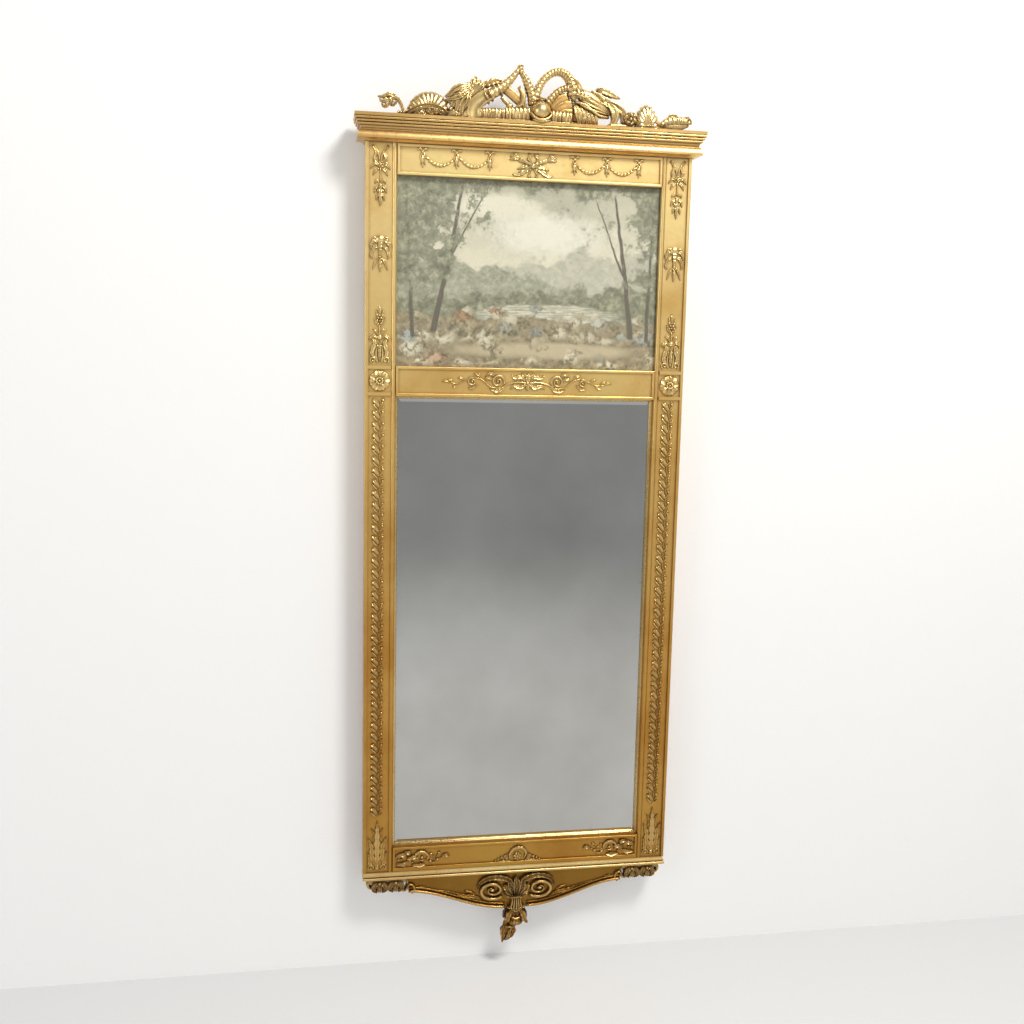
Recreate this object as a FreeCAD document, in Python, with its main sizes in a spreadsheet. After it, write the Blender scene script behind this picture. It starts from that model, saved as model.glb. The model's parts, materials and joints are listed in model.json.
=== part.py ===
import FreeCAD, Part
import math
import os
import Sketcher
from FreeCAD import Placement, Rotation, Vector

# Trumeau mirror: a tall gilt pier glass with a framed print over the mirror plate, a moulded cornice
# with a pierced ribbon crest, pilaster stiles with applied ornament, and a scrolled apron with a pendant.
# +X is to the viewer's right, +Z is up, and the front faces -Y. The origin is on the wall plane (y = 0),
# at the centre of the middle rail's back.

doc = FreeCAD.newDocument("TrumeauMirror")
sheet = doc.addObject("Spreadsheet::Sheet", "Sizes")

SIZES = [
    # carcase
    ("body_width", 600.0, "over the outer faces of the stiles"),
    ("stile_width", 56.0, "face width of a stile"),
    ("frame_depth", 42.0, "wall plane to the front of the borders"),
    ("field_recess", 4.0, "recess of stile fields and rail panels"),
    ("outer_strip", 5.5, "flat strip along a stile's outer edge"),
    ("inner_bead", 9.0, "half-round bead along a stile's inner edge"),
    ("edge_round", 1.5, "softened edges of strips and lips"),
    ("sight_depth", 10.0, "front of the frame to the shoulder of the rebate"),
    ("rebate_width", 8.0, "how far the shoulder covers glass and boards"),
    ("top_rail_height", 54.0, "frieze"),
    ("middle_rail_height", 54.0, "rail between print and mirror"),
    ("bottom_rail_height", 49.0, "rail under the mirror"),
    ("picture_gap", 337.0, "daylight height of the print"),
    ("mirror_gap", 866.0, "daylight height of the mirror"),
    ("rail_lip", 5.0, "raised lip round a rail's panel"),
    ("rail_foot_lip", 8.0, "taller lip under a rail's panel"),
    ("tenon_length", 30.0, "rail tenon"),
    ("tenon_thickness", 12.0, "rail tenon"),
    ("tenon_shoulder", 9.0, "shoulder above and below a tenon"),
    ("joint_clearance", 0.2, "play round a tenon and under its end"),
    # cornice
    ("cornice_height", 46.0, "underside to top"),
    ("cornice_projection", 20.3, "top fillet in front of the frieze"),
    ("band_projection", 14.8, "nose of the lower ovolo"),
    ("band_drop", 4.5, "height of the ovolo's nose"),
    ("band_top", 19.0, "top of the ovolo"),
    ("cove_throat", 9.0, "deepest line of the cove"),
    ("crown_bottom", 26.0, "height at which the reeded crown starts"),
    ("crown_projection", 11.5, "projection at which the crown starts"),
    ("top_fillet", 5.8, "flat fillet at the top of the crown"),
    # base and apron
    ("base_height", 15.0, "base board"),
    ("base_projection", 4.0, "base board in front of the frame"),
    ("base_side", 1.5, "base board past each stile"),
    ("apron_half_width", 212.0, "centre to the bracket of the apron"),
    ("apron_end_depth", 31.0, "depth of the apron at its brackets"),
    ("apron_depth", 75.0, "depth of the apron at its middle"),
    ("apron_waist", 28.0, "half width of the flat under the pendant"),
    ("apron_thickness", 18.0, "apron board"),
    ("apron_recess", 6.0, "front of the frame to the apron's face"),
    ("bead_width", 7.0, "bead along the apron's lower edge"),
    ("bead_rise", 6.0, "how far that bead stands off the apron"),
    ("volute_radius", 20.0, "large turn of the apron's volutes"),
    ("volute_centre", 50.0, "middle of the apron to a volute"),
    # glazing
    ("slip_show", 5.5, "gilt slip in sight round the mirror"),
    ("slip_thickness", 6.0, "gilt slip"),
    ("picture_glass_thickness", 2.0, "glass over the print"),
    ("print_thickness", 0.6, "print on its card"),
    ("board_thickness", 8.0, "backing boards"),
    ("mirror_thickness", 5.0, "mirror plate"),
    ("mirror_bevel", 12.0, "bevel round the mirror plate"),
    ("glazing_clearance", 1.0, "play between glass or boards and the rebate"),
    ("board_inset", 2.0, "mirror boards inside the wall plane"),
    # hangers
    ("hanger_height", 150.0, "ring pivot above the origin"),
    ("strap_length", 38.0, "strap below the pivot"),
    ("strap_width", 16.0, "strap"),
    ("strap_thickness", 1.6, "strap"),
    ("eye_length", 12.0, "rolled eye"),
    ("wire_radius", 1.5, "wire of the hanging ring"),
    ("eye_clearance", 0.3, "radial play of the wire in the rolled eye"),
    ("ring_radius", 12.0, "centre line of the hanging ring"),
    ("screw_radius", 1.7, "shank of a hanger screw"),
    ("screw_length", 18.0, "hanger screw"),
    ("mortise_depth", 8.5, "recess for a hanger in a stile's back"),
    ("mortise_margin", 2.5, "room round a hanger in its recess"),
    # applied ornament
    ("carving_rise", 5.0, "composition ornament in front of its field"),
    ("rosette_radius", 16.0, "rosette at a stile's block"),
    ("block_bar", 6.0, "fillet above and below a rosette"),
    ("vine_pitch", 21.0, "leaf to leaf along a stile"),
    ("vine_leaf_length", 17.0, "leaf of the vine"),
    ("vine_leaf_width", 6.5, "leaf of the vine"),
    ("berry_radius", 3.2, "berry of the vine"),
    ("foot_height", 100.0, "acanthus at a stile's foot"),
    ("ribbon_drop_height", 103.0, "ribbon and trophy at a stile's head"),
    ("ribbon_drop_gap", 7.0, "cornice to a ribbon drop"),
    ("torch_height", 65.0, "torch on a stile"),
    ("torch_lift", 166.0, "middle rail's top to a torch"),
    ("lyre_height", 103.0, "lyre-shaped arabesque on a stile"),
    ("lyre_gap", 5.0, "middle rail's top to a lyre"),
    ("swag_span", 60.5, "one festoon of the frieze"),
    ("swag_start", 78.0, "middle to the inner drop of a festoon"),
    ("swag_sag", 23.0, "fall of a festoon"),
    ("emblem_width", 84.0, "crossed torches on the frieze"),
    ("arabesque_width", 320.0, "scrollwork on the middle rail"),
    ("spray_length", 105.0, "leaf spray on the bottom rail"),
    ("spray_gap", 5.0, "outer tip of a spray to the stile"),
    ("palmette_width", 104.0, "palmette on the bottom rail"),
    # crest and pendant
    ("crest_depth", 20.0, "thickness of the carved crest"),
    ("crest_setback", 5.0, "crest behind the cornice's front edge"),
    ("ribbon_width", 13.0, "ribbon of the crest's bow"),
    ("knot_radius", 18.5, "ball at the middle of the bow"),
    ("bell_radius", 25.0, "mouth of the pendant's husk"),
    ("bell_height", 38.0, "pendant's husk"),
    ("bud_height", 44.0, "bud at the pendant's tip"),
    ("bud_radius", 15.0, "bud at the pendant's tip"),
]


class Size:
    """A length in millimetres together with the sheet formula that gives it."""

    def __init__(self, value, formula):
        self.value = value
        self.formula = formula

    def __add__(self, other):
        other = as_size(other)
        return Size(self.value + other.value, f"({self.formula} + {other.formula})")

    def __radd__(self, other):
        return as_size(other) + self

    def __sub__(self, other):
        other = as_size(other)
        return Size(self.value - other.value, f"({self.formula} - {other.formula})")

    def __rsub__(self, other):
        return as_size(other) - self

    def __mul__(self, other):
        other = as_size(other)
        return Size(self.value * other.value, f"({self.formula} * {other.formula})")

    def __rmul__(self, other):
        return as_size(other) * self

    def __truediv__(self, other):
        other = as_size(other)
        return Size(self.value / other.value, f"({self.formula} / {other.formula})")

    def __neg__(self):
        return Size(-self.value, f"(0 - {self.formula})")

    def __float__(self):
        return float(self.value)


def as_size(number):
    """The same number as a Size, where it isn't one."""
    if isinstance(number, Size):
        return number
    return Size(float(number), f"({float(number)})")


class SizeTable:
    """The sheet's values by their aliases."""


size = SizeTable()
for row, (alias, value, meaning) in enumerate(SIZES, start=1):
    sheet.set(f"A{row}", meaning)
    sheet.set(f"B{row}", str(value))
    sheet.setAlias(f"B{row}", alias)
    setattr(size, alias, Size(value, f"Sizes.{alias}"))
doc.recompute()

# Places that several pieces share.
half_width = size.body_width / 2
sight_x = half_width - size.stile_width
field_depth = size.frame_depth - size.field_recess
shoulder_depth = size.frame_depth - size.sight_depth
middle_top = size.middle_rail_height / 2
picture_top = middle_top + size.picture_gap
cornice_foot = picture_top + size.top_rail_height
cornice_top = cornice_foot + size.cornice_height
mirror_foot = -middle_top - size.mirror_gap
base_top = mirror_foot - size.bottom_rail_height
base_foot = base_top - size.base_height
stile_length = cornice_foot - base_top
field_outer = half_width - size.outer_strip
field_inner = sight_x + size.inner_bead
field_x = (field_outer + field_inner) / 2
rebate_x = sight_x + size.rebate_width
apron_face = size.frame_depth - size.apron_recess

subparts = []


def add_subpart(piece, label):
    """Names a finished piece, which becomes one node."""
    piece.Label = label
    subparts.append(piece)
    return piece


def bind(target, prop, formula_size):
    """Ties a property to the sheet."""
    target.setExpression(prop, as_size(formula_size).formula)


def place(target, x=0.0, y=0.0, z=0.0):
    """Ties a piece's place to the sheet."""
    bind(target, "Placement.Base.x", x)
    bind(target, "Placement.Base.y", y)
    bind(target, "Placement.Base.z", z)


# ---------------------------------------------------------------- sketches and features


def origin_plane(body, role):
    return next(feature for feature in body.Origin.OriginFeatures if feature.Role == role)


def new_sketch(body, name, role, offset=None):
    """A sketch on one of the body's own origin planes, moved along the plane's normal by offset."""
    sketch = body.newObject("Sketcher::SketchObject", name)
    sketch.AttachmentSupport = [(origin_plane(body, role), "")]
    sketch.MapMode = "FlatFace"
    if offset is not None:
        bind(sketch, "AttachmentOffset.Base.z", offset)
    return sketch


def fix_point(sketch, edge, end, corner):
    """Holds a sketch point at two sheet formulas, measured from the sketch's origin."""
    for kind, target in (("DistanceX", corner[0]), ("DistanceY", corner[1])):
        target = as_size(target)
        index = sketch.addConstraint(Sketcher.Constraint(kind, -1, 1, edge, end, target.value))
        name = f"{kind}_{index}"
        sketch.renameConstraint(index, name)
        bind(sketch, f"Constraints.{name}", target)


def draw_loop(sketch, corners, arcs=None):
    """A closed outline. arcs gives a radius for the edge after a corner: above 0 it bows to the right."""
    arcs = arcs or {}
    points = [Vector(as_size(x).value, as_size(y).value, 0) for x, y in corners]
    ends = []
    for number, start in enumerate(points):
        finish = points[(number + 1) % len(points)]
        if number not in arcs:
            edge = sketch.addGeometry(Part.LineSegment(start, finish))
            ends.append((edge, 1, 2))
            continue
        radius = as_size(arcs[number][0])
        side = arcs[number][1]
        chord = finish - start
        reach = max(radius.value, chord.Length / 2)
        rise = reach - math.sqrt(max(reach**2 - (chord.Length / 2) ** 2, 0.0))
        normal = Vector(chord.y, -chord.x, 0).normalize()
        crown = (start + finish) / 2 + normal * (rise * side)
        edge = sketch.addGeometry(Part.Arc(start, crown, finish))
        forward = sketch.getPoint(edge, 1).distanceToPoint(start) < 1e-6
        ends.append((edge, 1, 2) if forward else (edge, 2, 1))
    for number, (edge, start_end, finish_end) in enumerate(ends):
        after, after_start, after_finish = ends[(number + 1) % len(ends)]
        sketch.addConstraint(Sketcher.Constraint("Coincident", edge, finish_end, after, after_start))
        fix_point(sketch, edge, start_end, corners[number])
        if number in arcs:
            radius = as_size(arcs[number][0])
            index = sketch.addConstraint(Sketcher.Constraint("Radius", edge, radius.value))
            sketch.renameConstraint(index, f"radius_{index}")
            bind(sketch, f"Constraints.radius_{index}", radius)


def draw_circle(sketch, centre, radius):
    x, y = (as_size(value) for value in centre)
    edge = sketch.addGeometry(Part.Circle(Vector(x.value, y.value, 0), Vector(0, 0, 1), radius.value))
    fix_point(sketch, edge, 3, centre)
    index = sketch.addConstraint(Sketcher.Constraint("Radius", edge, radius.value))
    sketch.renameConstraint(index, f"radius_{index}")
    bind(sketch, f"Constraints.radius_{index}", radius)


def rectangle(x0, y0, x1, y1):
    return [(x0, y0), (x1, y0), (x1, y1), (x0, y1)]


def add_pad(body, name, sketch, length, symmetric=False, reverse=False):
    pad = body.newObject("PartDesign::Pad", name)
    pad.Profile = sketch
    pad.Length = length.value
    if symmetric:
        pad.SideType = "Symmetric"
    pad.Reversed = reverse
    bind(pad, "Length", length)
    return pad


def add_pocket(body, name, sketch, depth, reverse=False):
    pocket = body.newObject("PartDesign::Pocket", name)
    pocket.Profile = sketch
    pocket.Length = depth.value
    pocket.Reversed = reverse
    bind(pocket, "Length", depth)
    return pocket


def edges_on_front(shape, depth):
    """Names of the straight edges that lie in the plane at this depth."""
    names = []
    for number, edge in enumerate(shape.Edges, start=1):
        box = edge.BoundBox
        if abs(box.YMin + depth) < 1e-4 and abs(box.YMax + depth) < 1e-4:
            names.append(f"Edge{number}")
    return names


def add_fillet(body, name, base, names, radius):
    fillet = body.newObject("PartDesign::Fillet", name)
    fillet.Base = (base, names)
    fillet.Radius = radius.value
    bind(fillet, "Radius", radius)
    return fillet


def new_body(name):
    return doc.addObject("PartDesign::Body", name)


# ---------------------------------------------------------------- carcase

rail_levels = {
    "top": (picture_top, cornice_foot),
    "middle": (-middle_top, middle_top),
    "bottom": (base_top, mirror_foot),
}


def make_stile(label, side):
    """A pilaster stile: strip, recessed field and sight bead run its whole length."""
    body = new_body(label)
    front = -size.frame_depth
    field = -field_depth
    section = new_sketch(body, f"{label}_section", "XY_Plane")
    corners = [
        (side * half_width, 0.0),
        (side * half_width, front + size.edge_round),
        (side * (half_width - size.edge_round), front),
        (side * field_outer, front),
        (side * field_outer, field),
        (side * field_inner, field),
        (side * sight_x, field),
        (side * sight_x, 0.0),
    ]
    outward = -side
    draw_loop(section, corners, {1: (size.edge_round, outward), 5: (size.inner_bead * 0.55, outward)})
    add_pad(body, f"{label}_blank", section, stile_length)

    rebates = new_sketch(body, f"{label}_rebates", "XZ_Plane")
    for low, high in ((middle_top, picture_top), (mirror_foot, -middle_top)):
        draw_loop(rebates, rectangle(
            side * (sight_x - size.rebate_width), low - size.rebate_width - base_top,
            side * rebate_x, high + size.rebate_width - base_top,
        ))
    add_pocket(body, f"{label}_rebate", rebates, shoulder_depth, reverse=True)

    mortises = new_sketch(body, f"{label}_mortises", "YZ_Plane", offset=side * sight_x)
    middle = -(shoulder_depth + field_depth - size.sight_depth) / 2
    half_thick = size.tenon_thickness / 2 + size.joint_clearance
    for low, high in rail_levels.values():
        draw_loop(mortises, rectangle(
            middle - half_thick, low + size.tenon_shoulder - size.joint_clearance - base_top,
            middle + half_thick, high - size.tenon_shoulder + size.joint_clearance - base_top,
        ))
    mortise_cut = size.tenon_length + size.joint_clearance
    add_pocket(body, f"{label}_mortise", mortises, mortise_cut, reverse=side > 0)

    recess = new_sketch(body, f"{label}_recess", "XZ_Plane")
    recess_half = size.ring_radius + size.wire_radius + size.mortise_margin
    strap_x = side * (half_width - size.stile_width / 2)
    pivot = size.hanger_height - base_top
    draw_loop(recess, rectangle(
        strap_x - recess_half, pivot - size.strap_length - size.mortise_margin,
        strap_x + recess_half, pivot + recess_half,
    ))
    add_pocket(body, f"{label}_hanger_recess", recess, size.mortise_depth, reverse=True)

    pilots = new_sketch(body, f"{label}_pilots", "XZ_Plane")
    for level in screw_levels:
        draw_circle(pilots, (strap_x, level - base_top), size.screw_radius)
    add_pocket(body, f"{label}_pilot", pilots, size.mortise_depth + size.screw_length, reverse=True)
    place(body, z=base_top)
    add_subpart(body, label)


def make_rail(label, low, high, foot_lip, rebate_low, rebate_high):
    """A rail with a recessed panel, a softened lip round it and a tenon at each end."""
    body = new_body(label)
    section = new_sketch(body, f"{label}_section", "YZ_Plane")
    front = -size.frame_depth
    shoulder = -shoulder_depth
    corners = [(front, low), (front, high)]
    if rebate_high:
        corners += [(shoulder, high), (shoulder, high - size.rebate_width), (0.0, high - size.rebate_width)]
    else:
        corners += [(0.0, high)]
    if rebate_low:
        corners += [(0.0, low + size.rebate_width), (shoulder, low + size.rebate_width), (shoulder, low)]
    else:
        corners += [(0.0, low)]
    draw_loop(section, corners)
    add_pad(body, f"{label}_blank", section, 2 * sight_x, symmetric=True)

    tenon = new_sketch(body, f"{label}_tenon_section", "YZ_Plane")
    middle = -(shoulder_depth + field_depth - size.sight_depth) / 2
    draw_loop(tenon, rectangle(
        middle - size.tenon_thickness / 2, low + size.tenon_shoulder,
        middle + size.tenon_thickness / 2, high - size.tenon_shoulder,
    ))
    add_pad(body, f"{label}_tenons", tenon, 2 * (sight_x + size.tenon_length), symmetric=True)

    panel = new_sketch(body, f"{label}_panel", "XZ_Plane", offset=size.frame_depth)
    panel_half = sight_x - size.rail_lip
    draw_loop(panel, rectangle(-panel_half, low + foot_lip, panel_half, high - size.rail_lip))
    cut = add_pocket(body, f"{label}_panel_cut", panel, size.field_recess)
    doc.recompute()
    add_fillet(body, f"{label}_soft_edges", cut, edges_on_front(cut.Shape, size.frame_depth.value),
               size.edge_round)
    place(body)
    add_subpart(body, label)


screw_levels = [
    size.hanger_height - size.ring_radius - size.wire_radius - 4 * size.screw_radius,
    size.hanger_height - size.strap_length + 3 * size.screw_radius,
]
make_stile("stile_left", -1)
make_stile("stile_right", 1)
make_rail("top_rail", *rail_levels["top"], size.rail_lip, True, False)
make_rail("middle_rail", *rail_levels["middle"], size.rail_lip, True, True)
make_rail("bottom_rail", *rail_levels["bottom"], size.rail_foot_lip, False, True)

# ---------------------------------------------------------------- cornice


def cornice_outline():
    """Projection and height of the cornice's section, from its foot outwards and up."""
    crown_rise = size.cornice_height - size.top_fillet - size.crown_bottom
    crown_reach = size.cornice_projection - size.crown_projection
    corners = [
        (as_size(0.0), as_size(0.0)),
        (size.band_projection, size.band_drop),
        (size.band_projection, size.band_drop + 2 * size.edge_round),
        (size.cove_throat, size.band_top),
        (size.crown_projection, size.crown_bottom),
    ]
    arcs = {
        0: (size.band_projection, -1),
        2: (size.band_projection, 1),
        3: (size.cove_throat, -1),
    }
    reeds = 3
    for reed in range(reeds):
        low = size.crown_bottom + crown_rise * (reed / reeds)
        high = size.crown_bottom + crown_rise * ((reed + 1) / reeds)
        reach = size.crown_projection + crown_reach * ((reed + 0.4) / reeds)
        corners.append((reach, low))
        arcs[len(corners) - 1] = ((high - low) * 0.55, 1)
        corners.append((reach, high))
    corners.append((size.cornice_projection, size.cornice_height - size.top_fillet))
    corners.append((size.cornice_projection, size.cornice_height))
    corners.append((as_size(0.0), size.cornice_height))
    return corners, arcs


def make_cornice_front():
    """The front run, mitred at both ends."""
    body = new_body("cornice_front")
    section = new_sketch(body, "cornice_front_section", "YZ_Plane")
    corners, arcs = cornice_outline()
    turned = [(-size.frame_depth - reach, height) for reach, height in corners]
    draw_loop(section, turned, {number: (radius, -side) for number, (radius, side) in arcs.items()})
    add_pad(body, "cornice_front_run", section, 2 * (half_width + size.cornice_projection), symmetric=True)
    mitres = new_sketch(body, "cornice_front_mitres", "XY_Plane")
    beyond = half_width + 2 * size.cornice_projection
    before = -size.frame_depth - 2 * size.cornice_projection
    for side in (-1, 1):
        draw_loop(mitres, [(side * half_width, -size.frame_depth), (side * beyond, before),
                           (side * beyond, -size.frame_depth)])
    add_pocket(body, "cornice_front_mitre", mitres, size.cornice_height, reverse=True)
    place(body, z=cornice_foot)
    add_subpart(body, "cornice_front")


def make_cornice_return(label, side):
    """A short run back to the wall, mitred at the front."""
    body = new_body(label)
    section = new_sketch(body, f"{label}_section", "XZ_Plane")
    corners, arcs = cornice_outline()
    turned = [(side * (half_width + reach), height) for reach, height in corners]
    draw_loop(section, turned, {number: (radius, side * bow) for number, (radius, bow) in arcs.items()})
    add_pad(body, f"{label}_run", section, size.frame_depth + size.cornice_projection)
    mitre = new_sketch(body, f"{label}_mitre_outline", "XY_Plane")
    beyond = half_width + 2 * size.cornice_projection
    before = -size.frame_depth - 2 * size.cornice_projection
    draw_loop(mitre, [(side * half_width, -size.frame_depth), (side * beyond, before),
                      (side * half_width, before)])
    add_pocket(body, f"{label}_mitre", mitre, size.cornice_height, reverse=True)
    place(body, z=cornice_foot)
    add_subpart(body, label)


def make_box(label, x0, x1, y0, y1, z0, z1):
    """A plain board between sheet formulas."""
    box = doc.addObject("Part::Box", label)
    bind(box, "Length", x1 - x0)
    bind(box, "Width", as_size(y1) - y0)
    bind(box, "Height", z1 - z0)
    place(box, x0, y0, z0)
    return box


make_cornice_front()
make_cornice_return("cornice_return_left", -1)
make_cornice_return("cornice_return_right", 1)
core = make_box("cornice_core", -half_width, half_width, -size.frame_depth, 0.0, cornice_foot, cornice_top)
add_subpart(core, "cornice_core")

# ---------------------------------------------------------------- base and apron


def make_base_board():
    """Base board with a rounded nose, across the foot of the stiles."""
    body = new_body("base_board")
    section = new_sketch(body, "base_section", "YZ_Plane")
    nose = -(size.frame_depth + size.base_projection)
    draw_loop(section, [
        (0.0, base_foot),
        (nose + 2 * size.edge_round, base_foot),
        (nose, base_foot + size.base_height / 3),
        (nose, base_top - 2 * size.edge_round),
        (nose + 2 * size.edge_round, base_top),
        (0.0, base_top),
    ], {1: (size.base_height / 2, -1), 3: (2 * size.edge_round, -1)})
    add_pad(body, "base_run", section, 2 * (half_width + size.base_side), symmetric=True)
    place(body)
    add_subpart(body, "base_board")


def s_curve(side, inset=0.0):
    """The apron's lower edge on one side, from the bracket to the waist, as an ogee."""
    start_x = side * size.apron_half_width.value
    end_x = side * size.apron_waist.value
    start_z = base_foot.value - size.apron_end_depth.value + inset
    end_z = base_foot.value - size.apron_depth.value + inset
    pull = (start_x - end_x) / 3
    curve = Part.BezierCurve()
    curve.setPoles([
        Vector(start_x, 0, start_z),
        Vector(start_x - pull, 0, start_z),
        Vector(end_x + pull, 0, end_z),
        Vector(end_x, 0, end_z),
    ])
    return curve


def front_solid(wire, seat, rise):
    """A board whose outline is a wire in the X-Z plane, from seat forwards by rise."""
    face = Part.Face(wire)
    face.translate(Vector(0, -seat, 0))
    return face.extrude(Vector(0, -rise, 0))


def add_feature(label, shape):
    feature = doc.addObject("Part::Feature", label)
    feature.Shape = shape
    feature.Placement = Placement(Vector(0, 0, 0), Rotation())
    return add_subpart(feature, label)


def make_apron_board():
    """Shaped board: bracket steps, an ogee to each side and a flat under the pendant."""
    right = s_curve(1)
    left = s_curve(-1)
    top_left = Vector(-size.apron_half_width.value, 0, base_foot.value)
    top_right = Vector(size.apron_half_width.value, 0, base_foot.value)
    edges = [
        Part.makeLine(top_left, top_right),
        Part.makeLine(top_right, right.StartPoint),
        right.toShape(),
        Part.makeLine(right.EndPoint, left.EndPoint),
        left.toShape(),
        Part.makeLine(left.StartPoint, top_left),
    ]
    wire = Part.Wire(Part.__sortEdges__(edges))
    seat = apron_face.value - size.apron_thickness.value
    add_feature("apron_board", front_solid(wire, seat, size.apron_thickness.value))


# ---------------------------------------------------------------- carving helpers


def fuse(solids):
    """One shape of overlapping solids."""
    if len(solids) == 1:
        return solids[0]
    return solids[0].multiFuse(solids[1:]).removeSplitter()


def turned_points(points, x, z, turn, flip=1):
    """Local (x, z) points, turned by degrees and moved; flip -1 mirrors them left to right."""
    cosine = math.cos(math.radians(turn))
    sine = math.sin(math.radians(turn))
    moved = []
    for across, up in points:
        moved.append(Vector(x + flip * (across * cosine - up * sine), 0, z + across * sine + up * cosine))
    return moved


def closed_wire(corners):
    return Part.makePolygon([*corners, corners[0]])


def facet_solid(faces):
    """A closed solid of flat faces, each given by its corners."""
    solid = Part.makeSolid(Part.makeShell([Part.Face(closed_wire(corners)) for corners in faces]))
    if solid.Volume < 0:
        solid.reverse()
    return solid


def stacked(rings):
    """A solid through rings of corners, each ring a scaled copy of the one before it."""
    faces = [rings[0], rings[-1]]
    for low, high in zip(rings, rings[1:]):
        for number in range(len(low)):
            faces.append([low[number - 1], low[number], high[number], high[number - 1]])
    return facet_solid(faces)


def polygon(centre, radius, sides, first, second):
    """Corners round a centre, in the plane of two directions."""
    corners = []
    for number in range(sides):
        turn = 2 * math.pi * number / sides
        corners.append(centre + first * (radius * math.cos(turn)) + second * (radius * math.sin(turn)))
    return corners


def arc_points(start, crown, finish, steps):
    """Points along the arc through three points, both ends included."""
    return Part.Arc(start, crown, finish).discretize(steps + 1)


def curved(points, steps=4):
    """Points along arcs through three points at a time; a straight line takes what is left over."""
    spots = [points[0]]
    for number in range(0, len(points) - 2, 2):
        spots += arc_points(*points[number:number + 3], steps)[1:]
    if len(points) % 2 == 0:
        spots.append(points[-1])
    return spots


def leaf(x, z, length, width, turn, seat, rise, flip=1):
    """A leaf from its root at (x, z) to its tip: six-sided on its seat, with a ridge along its middle."""
    half = width / 2
    outline = [(0, 0), (half * 0.8, length * 0.22), (half, length * 0.55), (0, length),
               (-half, length * 0.55), (-half * 0.8, length * 0.22)]
    forward = Vector(0, -seat, 0)
    rim = [spot + forward for spot in turned_points(outline, x, z, turn, flip)]
    root, right_low, right_high, tip, left_high, left_low = rim
    forward = Vector(0, -seat - rise, 0)
    ridge = [(0, length * 0.2), (0, length * 0.7)]
    low, high = (spot + forward for spot in turned_points(ridge, x, z, turn, flip))
    return facet_solid([
        rim, [root, right_low, low], [right_low, right_high, low], [right_high, high, low],
        [right_high, tip, high], [tip, left_high, high], [left_high, low, high],
        [left_high, left_low, low], [left_low, root, low],
    ])


def stud(x, z, radius, seat, rise):
    """A six-sided berry or boss, narrower at its front."""
    across = Vector(1, 0, 0)
    upward = Vector(0, 0, 1)
    low = polygon(Vector(x, -seat, z), radius, 6, across, upward)
    high = polygon(Vector(x, -seat - rise, z), radius * 0.55, 6, across, upward)
    return stacked([low, high])


def bud(x, z, radius, seat, rise):
    """A six-sided bud with a point."""
    low = polygon(Vector(x, -seat, z), radius, 6, Vector(1, 0, 0), Vector(0, 0, 1))
    tip = Vector(x, -seat - rise, z)
    return facet_solid([low, *([low[number - 1], low[number], tip] for number in range(6))])


def ball(x, depth, z, radius):
    """A ball of flat facets, turned about the upright through its middle."""
    rings = []
    levels = 7
    for number in range(levels):
        tilt = math.radians(75.0 * (2 * number / (levels - 1) - 1))
        centre = Vector(x, -depth, z + radius * math.sin(tilt))
        rings.append(polygon(centre, radius * math.cos(tilt), 12, Vector(1, 0, 0), Vector(0, 1, 0)))
    return stacked(rings)


def scroll(x, z, radii, width, seat, rise, turn=0.0, flip=1, steps=5):
    """A curled band: half circles of shrinking radius, from its outer end at (x, z) inwards."""
    sides = ([], [])
    along = 0.0
    heading = 1
    for number, radius in enumerate(radii):
        centre = along - heading * radius
        for step in range(steps + 1):
            share = step / steps
            half = width / 2 * (1 - 0.5 * (number + share) / len(radii))
            angle = math.pi * share
            for track, way in zip(sides, (heading, -heading)):
                reach = heading * radius + way * half
                track.append((centre + reach * math.cos(angle), reach * math.sin(angle)))
        along -= 2 * heading * radius
        heading = -heading
        if number < len(radii) - 1:
            sides[0].pop()
            sides[1].pop()
    outline = turned_points([*sides[0], *reversed(sides[1])], x, z, turn, flip)
    return front_solid(closed_wire(outline), seat, rise)


def band(points, widths, seat, rise):
    """A ribbon or stem along a smooth line; widths has one value for each point."""
    centres = [Vector(x, 0, z) for x, z in points]
    sides = ([], [])
    for number, centre in enumerate(centres):
        before = centres[max(number - 1, 0)]
        after = centres[min(number + 1, len(centres) - 1)]
        along = (after - before).normalize()
        across = Vector(-along.z, 0, along.x) * (widths[number] / 2)
        sides[0].append(centre + across)
        sides[1].append(centre - across)
    return front_solid(closed_wire(curved(sides[0]) + curved(sides[1])[::-1]), seat, rise)


def festoon(x0, x1, z, sag, thickness, seat, rise):
    """A hanging swag between two drops, thickest in its middle."""
    left = Vector(x0, 0, z)
    right = Vector(x1, 0, z)
    low = arc_points(left, Vector((x0 + x1) / 2, 0, z - sag), right, 8)
    high = arc_points(right, Vector((x0 + x1) / 2, 0, z - sag + thickness), left, 8)
    return front_solid(closed_wire([*low[:-1], *high[:-1]]), seat, rise)


# ---------------------------------------------------------------- ornament on the stiles

rise = size.carving_rise.value
field_seat = field_depth.value


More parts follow.
